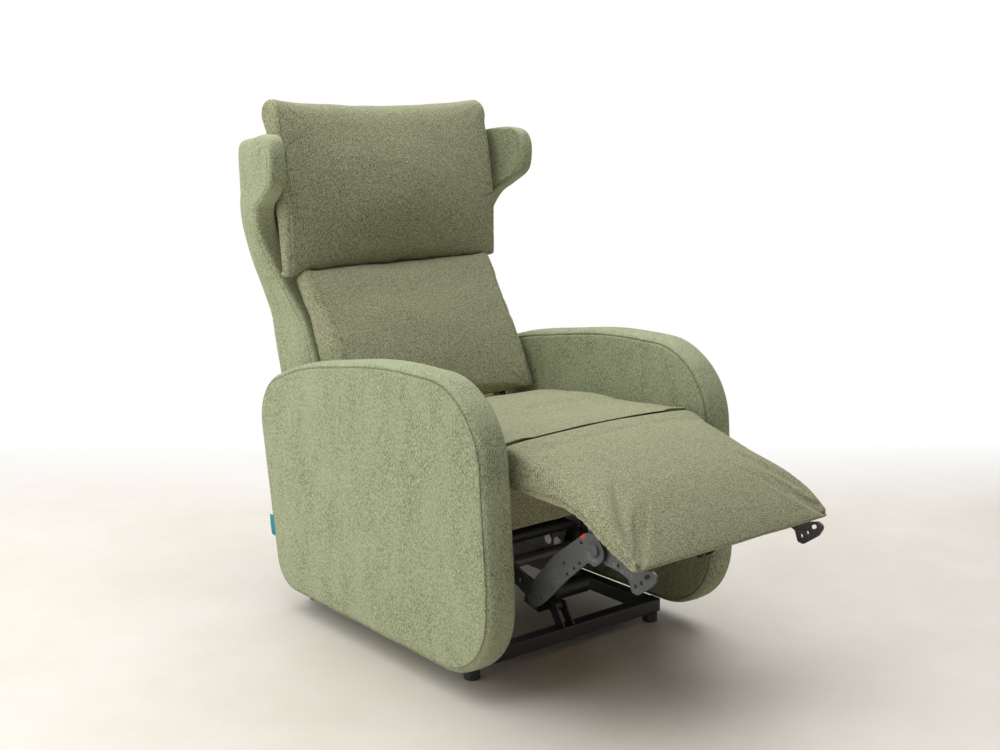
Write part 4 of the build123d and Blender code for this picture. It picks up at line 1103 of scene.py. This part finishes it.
# Stage: a pale floor that fades to white away from the chair, soft light from the left and above,
# and the camera of the photograph.


WHITE = (1.0, 1.0, 1.0, 1.0)
AWAY_FROM_CAMERA = (0.63, 0.777, 0.0)
FLOOR_HALF = 30.0


def seen_rays(tree):
    """1 for rays that the viewer sees, straight, mirrored or through glass, and 0 for the room's light."""
    rays = add_node(tree, "ShaderNodeLightPath").outputs
    seen = new_math(tree, "MAXIMUM", rays["Is Camera Ray"], rays["Is Glossy Ray"])
    return new_math(tree, "MAXIMUM", seen, rays["Is Transmission Ray"])


def mix_shaders(tree, share, first, second):
    """Two shaders mixed by a share."""
    return add_node(tree, "ShaderNodeMixShader", {
        0: share, 1: first.outputs[0], 2: second.outputs[0],
    }).outputs[0]


def make_floor():
    material, tree, shader = new_material("pale_floor", {"Roughness": 0.55})
    place = own_place(tree)
    cloud = new_band(tree, new_noise(tree, place, 2.2, 8.0, 0.65), 0.35, 0.7)
    colour = new_mix(tree, cloud, srgb(226, 219, 208), srgb(236, 231, 223))
    tree.links.new(colour, shader.inputs["Base Color"])
    away = add_node(tree, "ShaderNodeVectorMath", {0: place}, operation="LENGTH").outputs["Value"]
    behind = add_node(
        tree, "ShaderNodeVectorMath", {0: place, 1: AWAY_FROM_CAMERA}, operation="DOT_PRODUCT",
    ).outputs["Value"]
    fade = new_math(tree, "MAXIMUM", new_band(tree, behind, 0.75, 1.5), new_band(tree, away, 1.9, 3.2))
    white = add_node(tree, "ShaderNodeEmission", {"Color": WHITE, "Strength": 1.0})
    share = new_math(tree, "MULTIPLY", fade, seen_rays(tree))
    surface = tree.nodes["Material Output"].inputs["Surface"]
    tree.links.new(mix_shaders(tree, share, shader, white), surface)
    shell = bmesh.new()
    bmesh.ops.create_grid(shell, x_segments=8, y_segments=8, size=FLOOR_HALF)
    floor = add_piece("floor", shell)
    floor.data.materials.append(material)


make_floor()


def make_world():
    world = bpy.data.worlds.new("studio")
    bpy.context.scene.world = world
    world.use_nodes = True
    tree = world.node_tree
    tree.nodes.clear()
    room = add_node(tree, "ShaderNodeBackground", {"Color": (1.0, 0.99, 0.97, 1.0), "Strength": 0.06})
    white = add_node(tree, "ShaderNodeBackground", {"Color": WHITE, "Strength": 1.0})
    mixed = mix_shaders(tree, seen_rays(tree), room, white)
    add_node(tree, "ShaderNodeOutputWorld", {"Surface": mixed})


make_world()


def add_lamp(name, place, aim, size, power):
    """A square soft box at place, turned to aim."""
    lamp = bpy.data.lights.new(name, "AREA")
    lamp.size = size
    lamp.energy = power
    holder = add_object(name, lamp)
    holder.location = place
    holder.rotation_euler = (Vector(aim) - Vector(place)).to_track_quat("-Z", "Y").to_euler()


add_lamp("window", (-3.0, 1.3, 2.0), (0.0, 0.0, 0.5), 4.2, 108.0)
add_lamp("ceiling", (0.5, 0.3, 3.6), (0.4, 0.1, 0.4), 5.0, 176.0)

CAMERA_AT = Vector((-1.9536, -2.4809, 1.2106))
CAMERA_YAW = math.radians(39.047)
CAMERA_PITCH = math.radians(11.891)
camera_data = bpy.data.cameras.new("photo_camera")
camera_data.lens = 52.64
camera_data.sensor_width = 36.0
camera = add_object("photo_camera", camera_data)
camera.location = CAMERA_AT
flat = math.cos(CAMERA_PITCH)
look = Vector((math.sin(CAMERA_YAW) * flat, math.cos(CAMERA_YAW) * flat, -math.sin(CAMERA_PITCH)))
camera.rotation_euler = look.to_track_quat("-Z", "Y").to_euler()
bpy.context.scene.camera = camera
bpy.context.scene.view_settings.view_transform = "Standard"
